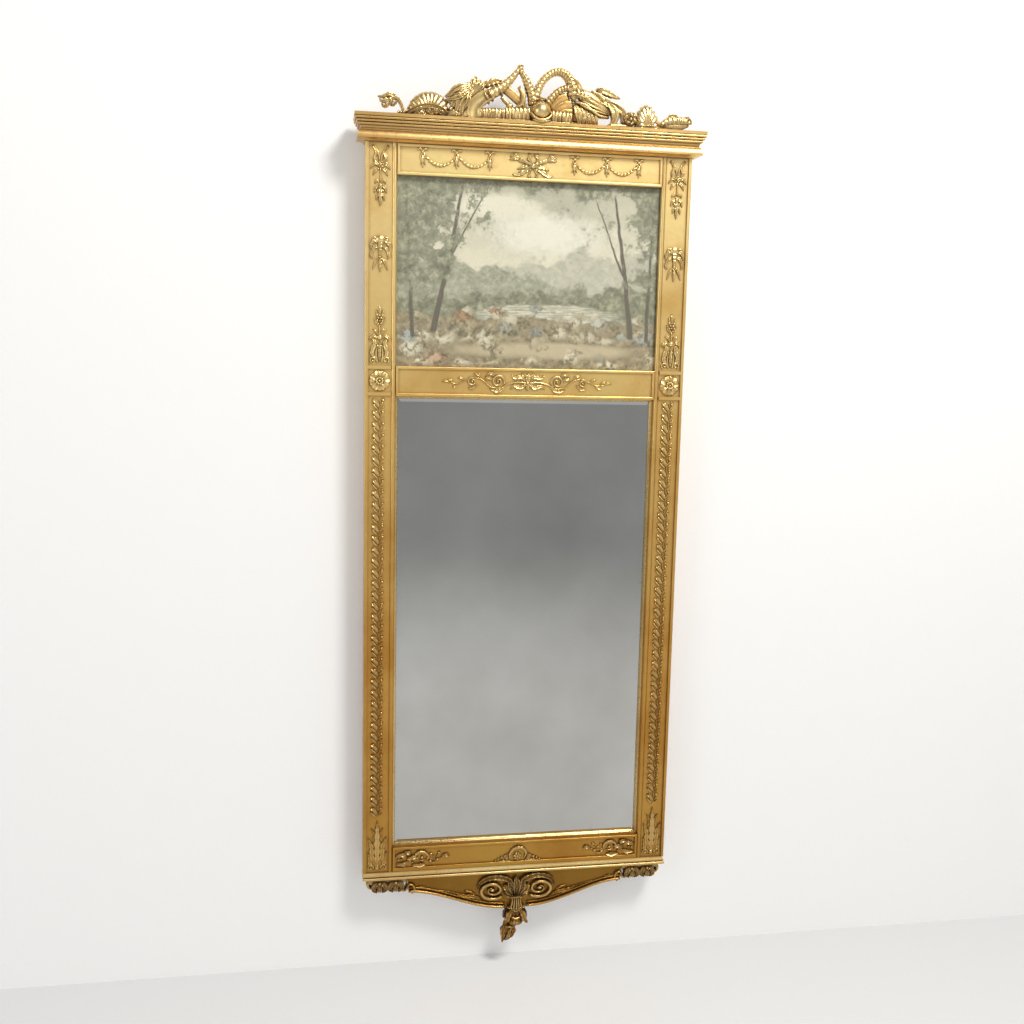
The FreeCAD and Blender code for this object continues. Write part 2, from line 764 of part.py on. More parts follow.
def make_rosette(label, side):
    """Eight petals round a boss, on the stile's block."""
    body = new_body(label)
    reach = size.rosette_radius
    petal = new_sketch(body, f"{label}_petal_outline", "XZ_Plane")
    widest = reach * 0.62
    draw_loop(petal, [(0.0, reach * 0.1), (reach * 0.2, widest), (0.0, reach), (-reach * 0.2, widest)])
    first = add_pad(body, f"{label}_petal", petal, size.carving_rise * 0.7)
    doc.recompute()
    petals = body.newObject("PartDesign::PolarPattern", f"{label}_petals")
    petals.Originals = [first]
    petals.Axis = (origin_plane(body, "Y_Axis"), [""])
    petals.Angle = 360.0
    petals.Occurrences = 8
    body.Tip = petals
    boss = new_sketch(body, f"{label}_boss_outline", "XZ_Plane")
    corners = []
    for number in range(8):
        turn = math.pi * (number + 0.5) / 4
        corners.append((reach * (0.34 * math.cos(turn)), reach * (0.34 * math.sin(turn))))
    draw_loop(boss, corners)
    add_pad(body, f"{label}_boss", boss, size.carving_rise)
    place(body, side * field_x, -field_depth, 0.0)
    add_subpart(body, label)


def make_vine(label, side):
    """Slanting leaves down one edge of the field, each with a berry beside it."""
    run = (-middle_top - base_top - size.foot_height - size.base_height / 3).value
    count = int(run / size.vine_pitch.value)
    solids = []
    for number in range(count):
        level = -middle_top.value - size.vine_pitch.value * (number + 1)
        leaf_x = side * field_x.value - size.vine_leaf_width.value * 0.35
        solids.append(leaf(leaf_x, level, size.vine_leaf_length.value, size.vine_leaf_width.value, 28.0,
                           field_seat, rise * 0.6))
        berry_x = side * field_x.value + size.vine_leaf_width.value * 1.4
        berry_z = level + size.vine_pitch.value / 2
        solids.append(bud(berry_x, berry_z, size.berry_radius.value, field_seat, rise * 0.8))
    add_feature(label, Part.makeCompound(solids))


def make_foot(label, side):
    """Acanthus at the stile's foot: a tall leaf between two that turn out, over a scrolled base."""
    tall = size.foot_height.value
    x = side * field_x.value
    z = base_top.value + 4.0
    solids = [leaf(x, z, tall * 0.92, 15.0, 0.0, field_seat, rise)]
    for flip in (-1, 1):
        solids.append(leaf(x, z + tall * 0.05, tall * 0.6, 11.0, -15.0, field_seat, rise * 0.8, flip))
        solids.append(leaf(x, z + tall * 0.04, tall * 0.24, 9.0, -40.0, field_seat, rise * 0.7, flip))
        solids.append(stud(x + flip * 13.0, z + 4.0, 4.5, field_seat, rise * 0.7))
    add_feature(label, fuse(solids))


def make_ribbon_drop(label, side):
    """A ribbon bow from which a bunch of leaves hangs."""
    tall = size.ribbon_drop_height.value
    x = side * field_x.value
    top = (cornice_foot - size.ribbon_drop_gap).value
    knot = top - tall * 0.2
    solids = [stud(x, knot, 5.0, field_seat, rise)]
    for flip in (-1, 1):
        solids.append(leaf(x, knot, tall * 0.2, 9.0, -40.0, field_seat, rise * 0.8, flip))
        solids.append(leaf(x, knot, tall * 0.19, 7.0, -125.0, field_seat, rise * 0.7, flip))
        solids.append(leaf(x, knot - tall * 0.3, tall * 0.2, 9.0, -60.0, field_seat, rise * 0.8, flip))
        solids.append(leaf(x, knot - tall * 0.32, tall * 0.22, 8.0, -130.0, field_seat, rise * 0.7, flip))
    solids.append(leaf(x, knot, tall * 0.45, 9.0, 180.0, field_seat, rise * 0.9))
    solids.append(leaf(x, knot - tall * 0.32, tall * 0.46, 11.0, 180.0, field_seat, rise))
    add_feature(label, fuse(solids))


def make_torch(label, side):
    """A flaming torch with a leaf curling out to each side."""
    tall = size.torch_height.value
    x = side * field_x.value
    low = (middle_top + size.torch_lift).value
    solids = [leaf(x, low, tall * 0.62, 12.0, 0.0, field_seat, rise)]
    solids.append(leaf(x, low + tall * 0.45, tall * 0.55, 10.0, 0.0, field_seat, rise * 0.8))
    for flip in (-1, 1):
        solids.append(leaf(x, low + tall * 0.4, tall * 0.36, 9.0, -62.0, field_seat, rise * 0.8, flip))
        solids.append(leaf(x, low + tall * 0.45, tall * 0.42, 8.0, -25.0, field_seat, rise * 0.7, flip))
    add_feature(label, fuse(solids))


def make_lyre(label, side):
    """Two curved leaves that make a lyre round a stem, with a bud above and bosses at the foot."""
    tall = size.lyre_height.value
    x = side * field_x.value
    low = (middle_top + size.lyre_gap).value
    solids = [leaf(x, low, tall * 0.7, 7.0, 0.0, field_seat, rise * 0.9)]
    solids.append(leaf(x, low + tall * 0.62, tall * 0.36, 10.0, 0.0, field_seat, rise))
    for flip in (-1, 1):
        solids.append(leaf(x, low + tall * 0.04, tall * 0.5, 9.0, -18.0, field_seat, rise * 0.8, flip))
        solids.append(leaf(x, low + tall * 0.5, tall * 0.24, 8.0, -55.0, field_seat, rise * 0.8, flip))
        solids.append(leaf(x, low + tall * 0.62, tall * 0.24, 6.0, -38.0, field_seat, rise * 0.7, flip))
        solids.append(stud(x + flip * 6.5, low + 5.0, 4.5, field_seat, rise * 0.7))
    add_feature(label, fuse(solids))


def make_block_bars():
    """Fillets above and below each rosette, between the stile's borders."""
    pieces = []
    for side in (-1, 1):
        for level in (middle_top - size.block_bar, -middle_top):
            bar = make_box(f"block_bar_{len(pieces)}", side * field_x - (field_outer - field_inner) / 2,
                           side * field_x + (field_outer - field_inner) / 2,
                           -size.frame_depth, -field_depth, level, level + size.block_bar)
            pieces.append(bar)
    group = doc.addObject("Part::Compound", "block_fillets")
    group.Links = pieces
    add_subpart(group, "block_fillets")


make_base_board()
make_apron_board()
make_block_bars()
for side, name in ((-1, "left"), (1, "right")):
    make_rosette(f"rosette_{name}", side)
    make_vine(f"vine_{name}", side)
    make_foot(f"foot_acanthus_{name}", side)
    make_ribbon_drop(f"ribbon_drop_{name}", side)
    make_torch(f"torch_{name}", side)
    make_lyre(f"lyre_{name}", side)

# ---------------------------------------------------------------- ornament on the rails


def make_swag(label, flip):
    """Two festoons and three husk drops on one half of the frieze."""
    span = size.swag_span.value
    start = size.swag_start.value
    level = (picture_top + size.top_rail_height * 0.76).value
    lap = 2.0
    solids = []
    for number in range(3):
        x = flip * (start + span * number)
        solids.append(leaf(x, level + 2.0, 28.0, 7.0, 180.0, field_seat, rise * 0.8))
        if number < 2:
            middle = flip * (start + span * (number + 0.5))
            reach = span / 2 + lap
            solids.append(festoon(middle - reach, middle + reach, level, size.swag_sag.value, 5.0,
                                  field_seat, rise * 0.6))
    add_feature(label, fuse(solids))


def make_emblem():
    """Crossed torches with flames, on the middle of the frieze."""
    level = (picture_top + size.top_rail_height / 2).value
    reach = size.emblem_width.value / 2
    solids = [stud(0.0, level, 6.0, field_seat, rise)]
    for flip in (-1, 1):
        for turn, length, width in ((-64.0, 1.06, 13.0), (-116.0, 1.04, 12.0),
                                    (-90.0, 0.75, 9.0), (-25.0, 0.42, 8.0)):
            solids.append(leaf(0.0, level, reach * length, width, turn, field_seat, rise * 0.9, flip))
    add_feature("frieze_emblem", fuse(solids))


def make_arabesque():
    """Scrollwork that runs out from a fleuron to both sides of the middle rail."""
    reach = size.arabesque_width.value / 2
    # place along the half, level, length along the half, width, turn, rise of each leaf
    leaves = [
        (0.0, 0.0, 0.2, 8.0, -58.0, 0.8), (0.0, 0.0, 0.2, 7.0, -118.0, 0.8),
        (0.33, 0.0, 0.16, 9.0, -40.0, 0.8), (0.33, 0.0, 0.2, 10.0, -78.0, 1.0),
        (0.33, 0.0, 0.16, 8.0, -128.0, 0.8), (0.66, -2.0, 0.2, 7.0, -80.0, 0.8),
        (0.84, 1.0, 0.16, 6.0, -92.0, 0.7),
    ]
    solids = [
        leaf(0.0, -2.0, 19.0, 11.0, 0.0, field_seat, rise),
        leaf(0.0, 2.0, 17.0, 9.0, 180.0, field_seat, rise),
    ]
    for flip in (-1, 1):
        for along, level, length, width, turn, share in leaves:
            solids.append(leaf(flip * reach * along, level, reach * length, width, turn,
                               field_seat, rise * share, flip))
        solids.append(scroll(flip * reach * 0.36, 0.0, (9.0, 6.5, 4.0), 4.0,
                             field_seat, rise * 0.8, 180.0, flip, steps=4))
        solids.append(scroll(flip * reach * 0.56, 0.0, (9.5, 6.5, 4.0), 4.0,
                             field_seat, rise * 0.8, 0.0, -flip, steps=4))
    add_feature("middle_arabesque", fuse(solids))


def make_spray(label, flip):
    """Leaves and a curled tendril towards one end of the bottom rail."""
    long = size.spray_length.value
    start = (sight_x - size.spray_gap).value - long
    panel = size.bottom_rail_height - size.rail_foot_lip - size.rail_lip
    level = (base_top + size.rail_foot_lip + panel / 2).value
    solids = [scroll(flip * (start + long * 0.62), level, (10.0, 7.0, 4.5), 4.5, field_seat, rise, 0.0, flip)]
    # place along the spray, turn, length along it, width of each leaf
    leaves = [
        (0.2, 82.0, 0.22, 8.0), (0.34, 60.0, 0.22, 8.0), (0.34, 112.0, 0.2, 8.0),
        (0.5, 70.0, 0.2, 9.0), (0.6, -55.0, 0.2, 9.0), (0.62, -112.0, 0.22, 9.0),
        (0.74, -70.0, 0.24, 11.0), (0.74, -112.0, 0.24, 10.0),
    ]
    for along, turn, length, width in leaves:
        solids.append(leaf(flip * (start + long * along), level, long * length, width, turn,
                           field_seat, rise * 0.8, flip))
    add_feature(label, fuse(solids))


def make_palmette():
    """Half palmette in the middle of the bottom rail, with beads that run down to each side."""
    low = (base_top + size.rail_foot_lip).value + 2.0
    reach = size.palmette_width.value / 2
    solids = []
    for turn in (-72.0, -36.0, 0.0, 36.0, 72.0):
        solids.append(leaf(0.0, low, 21.0, 8.0, turn, field_seat, rise * 0.8))
    for flip in (-1, 1):
        solids.append(band([(0.0, low + 31.0), (flip * 14.0, low + 26.0), (flip * 20.0, low + 14.0),
                            (flip * 17.0, low + 3.0)], (5.0, 5.0, 4.5, 4.0), field_seat, rise))
        for number in range(4):
            share = number / 3
            solids.append(stud(flip * (reach * (0.5 + 0.45 * share)), low + 17.0 - 13.0 * share,
                               4.2 - 1.6 * share, field_seat, rise * 0.7))
    add_feature("bottom_palmette", fuse(solids))


make_swag("swag_left", -1)
make_swag("swag_right", 1)
make_emblem()
make_arabesque()
make_spray("spray_left", -1)
make_spray("spray_right", 1)
make_palmette()

# ---------------------------------------------------------------- ornament on the apron

apron_seat = apron_face.value


def make_apron_scroll(label, flip):
    """The bead along the apron's ogee, and the volute that it runs up to."""
    width = size.bead_width.value
    lower = s_curve(flip)
    upper = s_curve(flip, inset=width)
    wire = Part.Wire(Part.__sortEdges__([
        lower.toShape(), upper.toShape(),
        Part.makeLine(lower.StartPoint, upper.StartPoint),
        Part.makeLine(lower.EndPoint, upper.EndPoint),
    ]))
    bead = front_solid(wire, apron_seat, size.bead_rise.value)
    turn = size.volute_radius.value
    middle = base_foot.value - size.apron_depth.value * 0.47
    radii = [turn * share for share in (1.0, 0.8, 0.55, 0.35)]
    volute = scroll(flip * (size.volute_centre.value + turn), middle, radii, 6.0,
                    apron_seat, size.bead_rise.value * 1.5, 0.0, flip, steps=7)
    add_feature(label, Part.makeCompound([bead, volute]))


def make_fan():
    """Acanthus fan between the volutes, over the collar of the pendant."""
    foot = base_foot.value - size.apron_depth.value * 0.82
    tall = size.apron_depth.value * 0.66
    solids = [leaf(0.0, foot, tall * 1.05, 16.0, 0.0, apron_seat, size.bead_rise.value * 2)]
    for flip in (-1, 1):
        solids.append(leaf(0.0, foot, tall, 13.0, -18.0, apron_seat, size.bead_rise.value * 1.8, flip))
        solids.append(leaf(0.0, foot, tall * 0.95, 12.0, -34.0, apron_seat, size.bead_rise.value * 1.6, flip))
    collar_top = foot + 6.0
    solids.append(front_solid(Part.makePolygon([
        Vector(-14, 0, collar_top), Vector(14, 0, collar_top),
        Vector(18, 0, base_foot.value - size.apron_depth.value),
        Vector(-18, 0, base_foot.value - size.apron_depth.value), Vector(-14, 0, collar_top),
    ]), apron_seat, size.bead_rise.value))
    add_feature("apron_acanthus", fuse(solids))


def make_apron_end(label, flip):
    """Carved bracket under the stile: a step and two lobes that shrink outwards."""
    top = base_foot.value
    inner = size.apron_half_width.value
    outer = half_width.value - 6.0
    lobes = [inner, inner + (outer - inner) * 0.16, inner + (outer - inner) * 0.58, outer]
    depth = size.apron_end_depth.value
    bottoms = [depth * 1.0, depth * 0.55, depth * 0.5, depth * 0.3]
    spots = [Vector(flip * x, 0, top - drop) for x, drop in zip(lobes, bottoms)]
    bulge = [Vector(flip * (a + b) / 2, 0, top - depth * drop)
             for a, b, drop in zip(lobes[1:-1], lobes[2:], (1.02, 0.95))]
    edges = [
        Part.makeLine(Vector(flip * lobes[0], 0, top), spots[0]),
        Part.makeLine(spots[0], spots[1]),
        Part.makePolygon(arc_points(spots[1], bulge[0], spots[2], 6)),
        Part.makePolygon(arc_points(spots[2], bulge[1], spots[3], 6)),
        Part.makeLine(spots[3], Vector(flip * lobes[3], 0, top)),
        Part.makeLine(Vector(flip * lobes[3], 0, top), Vector(flip * lobes[0], 0, top)),
    ]
    seat = apron_face.value - size.apron_thickness.value
    add_feature(label, front_solid(Part.Wire(edges), seat, size.apron_thickness.value + 2.0))


def make_pendant():
    """A flared husk under the apron, and the bud that leans out of its mouth."""
    axis_depth = apron_face.value - size.apron_thickness.value / 2
    top = base_foot.value - size.apron_depth.value
    mouth = size.bell_radius.value
    tall = size.bell_height.value
    across = Vector(1, 0, 0)
    back = Vector(0, 1, 0)
    rings = []
    for fall, spread in ((0.0, 0.6), (0.3, 0.72), (0.65, 0.76), (0.92, 1.0), (1.0, 0.8)):
        rings.append(polygon(Vector(0, -axis_depth, top - tall * fall), mouth * spread, 12, across, back))
    add_feature("pendant_husk", stacked(rings))

    bud = size.bud_height.value
    radius = size.bud_radius.value
    rings = []
    for fall, spread in ((-0.15, 0.6), (0.1, 0.85), (0.35, 1.0), (0.65, 0.8), (0.88, 0.35), (1.0, 0.05)):
        rings.append(polygon(Vector(0, 0, -bud * fall), radius * spread, 10, across, back))
    solid = stacked(rings)
    solid.rotate(Vector(0, 0, 0), Vector(0, 1, 0), 20.0)
    low = top - tall
    solid.translate(Vector(-mouth * 0.36, -axis_depth, low))
    above = Part.makeBox(4 * mouth, 4 * mouth, 2 * mouth, Vector(-2 * mouth, -axis_depth - 2 * mouth, low))
    add_feature("pendant_bud", solid.cut(above))


make_apron_scroll("apron_scroll_left", -1)
make_apron_scroll("apron_scroll_right", 1)
make_fan()
make_apron_end("apron_end_left", -1)
make_apron_end("apron_end_right", 1)
make_pendant()

# ---------------------------------------------------------------- crest

crest_foot = cornice_top.value
crest_front = (size.frame_depth + size.cornice_projection - size.crest_setback).value
crest_back = crest_front - size.crest_depth.value
ribbon = size.ribbon_width.value


def up(level):
    """Height above the cornice."""
    return crest_foot + level


def crest_solid(points, thin=1.0):
    """A carved mass of the crest with a smooth outline, given above the cornice."""
    rise_here = size.crest_depth.value * thin
    middle = (crest_front + crest_back) / 2
    spots = [Vector(x, 0, up(level)) for x, level in points]
    outline = curved([*spots, spots[0]])
    return front_solid(Part.makePolygon(outline), middle - rise_here / 2, rise_here)


def crest_band(points, widths, thin=0.7):
    rise_here = size.crest_depth.value * thin
    middle = (crest_front + crest_back) / 2
    return band([(x, up(level)) for x, level in points], widths, middle - rise_here / 2, rise_here)


def flat_foot(shape):
    """Cuts a carving level where it stands on the cornice."""
    below = Part.makeBox(2 * half_width.value, 4 * crest_front, 60.0,
                         Vector(-half_width.value, -3 * crest_front, crest_foot - 60.0))
    return shape.cut(below)


def make_crest():
    """Ribbon bow over a ball, with carved clusters that fall away to a bud at each end."""
    middle = (crest_front + crest_back) / 2
    knot_depth = crest_front - size.knot_radius.value * 0.35
    carvings = {
        "crest_knot": [ball(10.0, knot_depth, up(size.knot_radius.value + 0.5), size.knot_radius.value)],
        "crest_bow_right": [
            crest_band([(-1, 22), (1, 48), (11, 70), (27, 86), (44, 90.5), (58, 83), (66, 68), (69, 50)],
                       (ribbon * 1.2, *(ribbon,) * 6, ribbon * 1.3), 0.8),
            crest_band([(22, 30), (31, 45), (44, 58), (62, 64)], (ribbon * 0.7,) * 4, 0.5),
        ],
        "crest_bow_left": [
            crest_band([(-117, -4), (-106, 22), (-86, 41), (-62, 60), (-41, 79), (-29, 91)],
                       [ribbon * share for share in (2.0, 2.0, 1.6, 1.2, 0.9, 0.6)], 0.9),
            crest_band([(-30, 88), (-16, 70), (-8, 52), (-3, 34)],
                       (ribbon * 0.6, ribbon * 0.8, ribbon, ribbon)),
            ball(-28.0, middle, up(92.0), ribbon * 0.5),
        ],
        "crest_quiver": [
            crest_solid([(70, -4), (66, 30), (70, 58), (82, 69), (96, 62), (116, 42), (136, 26), (113, 14),
                         (104, -4)]),
        ],
        "crest_leaves_left": [
            crest_solid([(-228, -3), (-222, 14), (-205, 31), (-184, 40), (-166, 33), (-156, 14), (-160, -5),
                         (-195, -4)]),
            crest_solid([(-166, -4), (-163, 30), (-147, 45), (-138, 58), (-124, 55), (-109, 71), (-92, 60),
                         (-98, 38), (-112, 14), (-112, -4)], 0.8),
        ],
        "crest_leaves_right": [
            crest_band([(112, 44), (134, 34), (156, 30), (172, 18)], (10.0, 14.0, 10.0, 10.0), 0.6),
            crest_band([(112, 58), (126, 57), (142, 52), (156, 50)], (3.0, 10.0, 9.0, 2.0), 0.5),
            crest_band([(118, 47), (128, 52)], (7.0, 7.0), 0.5),
            crest_band([(133, 36), (142, 20), (134, -4)], (9.0, 12.0, 8.0), 0.6),
            crest_solid([(164, -4), (164, 14), (172, 25), (184, 26), (194, 40), (208, 42), (222, 30),
                         (232, 4), (228, -5), (200, -5)]),
        ],
        "crest_bud_left": [
            crest_solid([(-280, 25), (-270, 31), (-256, 30), (-246, 26), (-256, 17), (-268, 11)], 0.6),
            crest_band([(-256, 26), (-244, 28), (-238, 18), (-234, -4)], (6.0, 7.0, 8.0, 10.0), 0.4),
        ],
        "crest_bud_right": [
            crest_solid([(236, 6), (248, 20), (264, 26), (282, 23), (293, 16), (284, 4), (264, -4),
                         (244, -3)], 0.7),
        ],
        "crest_ribbon_tails": [
            crest_band([(-103, 10), (-60, 12), (-10, 12), (30, 11), (66, 10)],
                       (20.0, 23.0, 24.0, 22.0, 20.0), 0.5),
        ],
    }
    earlier = []
    for label, solids in carvings.items():
        carving = flat_foot(fuse(solids))
        near = [other for other in earlier if other.BoundBox.intersect(carving.BoundBox)]
        if near:
            carving = carving.cut(near)
        add_feature(label, largest_first(carving))
        earlier.append(carving)


def largest_first(shape):
    """The shape without the slivers that a cut leaves."""
    crumb = 20.0
    solids = [solid for solid in shape.Solids if solid.Volume > crumb]
    return solids[0] if len(solids) == 1 else Part.makeCompound(solids)


make_crest()

# ---------------------------------------------------------------- glazing and backing

glass_x = rebate_x - size.glazing_clearance
picture_low = middle_top - size.rebate_width + size.glazing_clearance
picture_high = picture_top + size.rebate_width - size.glazing_clearance
mirror_low = mirror_foot - size.rebate_width + size.glazing_clearance
mirror_high = -middle_top + size.rebate_width - size.glazing_clearance


def make_layer(label, front_depth, thickness, low, high):
    """A sheet or board in a rebate, from front_depth backwards."""
    layer = make_box(label, -glass_x, glass_x, -front_depth, thickness - front_depth, low, high)
    return add_subpart(layer, label)


def make_slip():
    """Mitred gilt slip between the frame and the mirror plate."""
    outer = Part.makeBox(2 * glass_x.value, size.slip_thickness.value, (mirror_high - mirror_low).value,
                         Vector(-glass_x.value, -shoulder_depth.value, mirror_low.value))
    sight = sight_x.value - size.slip_show.value
    low = mirror_foot.value + size.slip_show.value
    high = -middle_top.value - size.slip_show.value
    slope = size.slip_thickness.value * 0.5
    back = -(shoulder_depth.value - size.slip_thickness.value)

    def ring(depth, spread):
        corners = [(-sight - spread, low - spread), (sight + spread, low - spread),
                   (sight + spread, high + spread), (-sight - spread, high + spread)]
        spots = [Vector(x, depth, z) for x, z in corners]
        return Part.makePolygon(spots + spots[:1])

    opening = Part.makeLoft([ring(-shoulder_depth.value - 1.0, slope), ring(back + 1.0, 0.0)], True, True)
    add_feature("mirror_slip", outer.cut(opening))


def make_mirror_plate(front_depth):
    """Plate with a ground bevel all round its front."""
    body = new_body("mirror_plate")
    outline = new_sketch(body, "mirror_outline", "XZ_Plane")
    draw_loop(outline, rectangle(-glass_x, mirror_low, glass_x, mirror_high))
    plate = add_pad(body, "mirror_sheet", outline, size.mirror_thickness)
    doc.recompute()
    bevel = body.newObject("PartDesign::Chamfer", "mirror_edge_bevel")
    bevel.Base = (plate, edges_on_front(plate.Shape, size.mirror_thickness.value))
    bevel.ChamferType = "Two distances"
    bevel.Size = 1.5
    bevel.Size2 = size.mirror_bevel.value
    bind(bevel, "Size", size.mirror_thickness * 0.3)
    bind(bevel, "Size2", size.mirror_bevel + size.slip_show)
    place(body, y=size.mirror_thickness - front_depth)
    add_subpart(body, "mirror_plate")


def make_blocks(front_depth, back_depth):
    """Glue blocks in the mirror's rebate, which keep plate and boards apart."""
    solids = []
    thick = (front_depth - back_depth).value
    width = (size.rebate_width - size.glazing_clearance).value
    long = 60.0
    per_side = 4
    gap = (mirror_high - mirror_low).value / per_side
    for flip in (-1, 1):
        for number in range(per_side):
            middle = mirror_low.value + gap * (number + 0.5)
            x = flip * (rebate_x.value - width / 2) - width / 2
            solids.append(Part.makeBox(width, thick, long, Vector(x, -front_depth.value, middle - long / 2)))
        x = flip * sight_x.value * 0.45 - long / 2
        play = size.glazing_clearance.value
        for z in (mirror_low.value - play, mirror_high.value + play - width):
            solids.append(Part.makeBox(long, thick, width, Vector(x, -front_depth.value, z)))
    add_feature("mirror_blocks", Part.makeCompound(solids))


def make_mirror_boards():
    """Pine boards across the mirror's back, butted one above the other."""
    count = 5
    tall = (mirror_high - mirror_low).value / count
    solids = []
    for number in range(count):
        board = Part.makeBox(2 * glass_x.value, size.board_thickness.value, tall,
                             Vector(-glass_x.value, -(size.board_inset + size.board_thickness).value,
                                    mirror_low.value + tall * number))
        ends = [edge for edge in board.Edges
                if edge.BoundBox.XLength > tall and edge.BoundBox.YMax > -size.board_inset.value - 0.01]
        solids.append(board.makeChamfer(1.0, ends))
    add_feature("mirror_backboards", Part.makeCompound(solids))


def make_sprigs(depth):
    """Headless sprigs that hold the print's backboard in its rebate."""
    solids = []
    long = size.rebate_width.value
    for flip in (-1, 1):
        for share in (0.2, 0.8):
            z = picture_low.value + (picture_high - picture_low).value * share
            x = flip * (rebate_x.value - long / 2) - long / 2
            solids.append(Part.makeBox(long, 1.2, 2.4, Vector(x, -depth.value, z)))
        for z in (middle_top.value - long, picture_top.value):
            solids.append(Part.makeBox(2.4, 1.2, long, Vector(flip * sight_x.value * 0.5, -depth.value, z)))
    add_feature("picture_sprigs", Part.makeCompound(solids))


picture_glass_front = shoulder_depth
print_front = picture_glass_front - size.picture_glass_thickness
picture_board_front = print_front - size.print_thickness
picture_board_back = picture_board_front - size.board_thickness
mirror_front = shoulder_depth - size.slip_thickness
mirror_back = mirror_front - size.mirror_thickness
make_layer("picture_glass", picture_glass_front, size.picture_glass_thickness, picture_low, picture_high)
make_layer("picture_print", print_front, size.print_thickness, picture_low, picture_high)
make_layer("picture_backboard", picture_board_front, size.board_thickness, picture_low, picture_high)
make_sprigs(picture_board_back)
make_slip()
make_mirror_plate(mirror_front)
make_blocks(mirror_back, size.board_inset + size.board_thickness)
make_mirror_boards()

# ---------------------------------------------------------------- hangers

strap_x = half_width - size.stile_width / 2
eye_bore = size.wire_radius + size.eye_clearance
eye_radius = eye_bore + size.strap_thickness
pivot_depth = size.mortise_depth - eye_radius


def make_hanger(name, side):
    plate = make_box(f"strap_plate_{name}", -size.strap_width / 2, size.strap_width / 2,
                     -eye_radius, size.strap_thickness - eye_radius, -size.strap_length, as_size(0.0))
    eye = doc.addObject("Part::Cylinder", f"strap_eye_{name}")
    bind(eye, "Radius", eye_radius)
    bind(eye, "Height", size.eye_length)
    eye.Placement = Placement(Vector(0, 0, 0), Rotation(Vector(0, 1, 0), 90))
    bind(eye, "Placement.Base.x", -size.eye_length / 2)
    solid = doc.addObject("Part::Fuse", f"strap_solid_{name}")
    solid.Base = plate
    solid.Tool = eye
    bore = doc.addObject("Part::Cylinder", f"strap_bore_{name}")
    bind(bore, "Radius", eye_bore)
    bind(bore, "Height", 2 * size.strap_width)
    bore.Placement = Placement(Vector(0, 0, 0), Rotation(Vector(0, 1, 0), 90))
    bind(bore, "Placement.Base.x", -size.strap_width)
    bored = doc.addObject("Part::Cut", f"strap_bored_{name}")
    bored.Base = solid
    bored.Tool = bore
    tools = []
    for number, level in enumerate(screw_levels):
        hole = doc.addObject("Part::Cylinder", f"strap_hole_{name}_{number}")
        bind(hole, "Radius", size.screw_radius)
        bind(hole, "Height", 4 * size.strap_thickness)
        hole.Placement = Placement(Vector(0, 0, 0), Rotation(Vector(1, 0, 0), -90))
        place(hole, y=-eye_radius - size.strap_thickness, z=level - size.hanger_height)
        tools.append(hole)
    holes = doc.addObject("Part::Compound", f"strap_holes_{name}")
    holes.Links = tools
    strap = doc.addObject("Part::Cut", f"hanger_strap_{name}")
    strap.Base = bored
    strap.Tool = holes
    place(strap, side * strap_x, -pivot_depth, size.hanger_height)
    add_subpart(strap, f"hanger_strap_{name}")

    reach = size.ring_radius.value
    wire = size.wire_radius.value
    bar = Part.makeCylinder(wire, reach, Vector(-reach / 2, 0, 0), Vector(1, 0, 0))
    bow = [Vector(-reach / 2, 0, 0), Vector(-reach, 0, 0)]
    for step in range(1, 7):
        turn = math.pi * step / 6
        bow.append(Vector(-reach * math.cos(turn), 0, -reach * math.sin(turn)))
    bow.append(Vector(reach / 2, 0, 0))
    path = Part.Wire(Part.makePolygon(bow))
    profile = Part.Wire(Part.makeCircle(wire, bow[0], Vector(1, 0, 0)))
    ring = fuse([path.makePipeShell([profile], True, False, 1), bar])
    feature = doc.addObject("Part::Feature", f"hanger_ring_{name}")
    feature.Shape = ring
    place(feature, side * strap_x, -pivot_depth, size.hanger_height)
    add_subpart(feature, f"hanger_ring_{name}")


def make_screws():
    """Screws that hold the straps, with their heads flush in the straps' face."""
    solids = []
    for side in (-1, 1):
        for level in screw_levels:
            depth = (size.mortise_depth - size.strap_thickness).value
            spot = Vector(side * strap_x.value, -depth, level.value)
            solids.append(Part.makeCylinder(size.screw_radius.value - 0.05, size.screw_length.value, spot,
                                            Vector(0, -1, 0)))
    add_feature("hanger_screws", Part.makeCompound(solids))


make_hanger("left", -1)
make_hanger("right", 1)
make_screws()

# ---------------------------------------------------------------- checks and files

doc.recompute()
for item in doc.Objects:
    if "Invalid" in item.State or "Error" in item.State:
        raise RuntimeError(f"{item.Name}: {item.State}")
    if item.TypeId in ("PartDesign::Pocket", "PartDesign::Groove"):
        before = item.BaseFeature.Shape.Volume
        if item.Shape.Volume > before - 1e-3:
            raise RuntimeError(f"{item.Name} cuts nothing")
for piece in subparts:
    if piece.Shape.isNull() or not piece.Shape.isValid():
        raise RuntimeError(f"{piece.Label} is not a valid shape")

os.makedirs("parts", exist_ok=True)
for piece in subparts:
    piece.Shape.exportStep(f"parts/{piece.Label}.step")
print(len(subparts), "sub-parts written")
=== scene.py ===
import json
import math
import random

import bmesh
import bpy
import numpy as np
from mathutils import Matrix, Vector


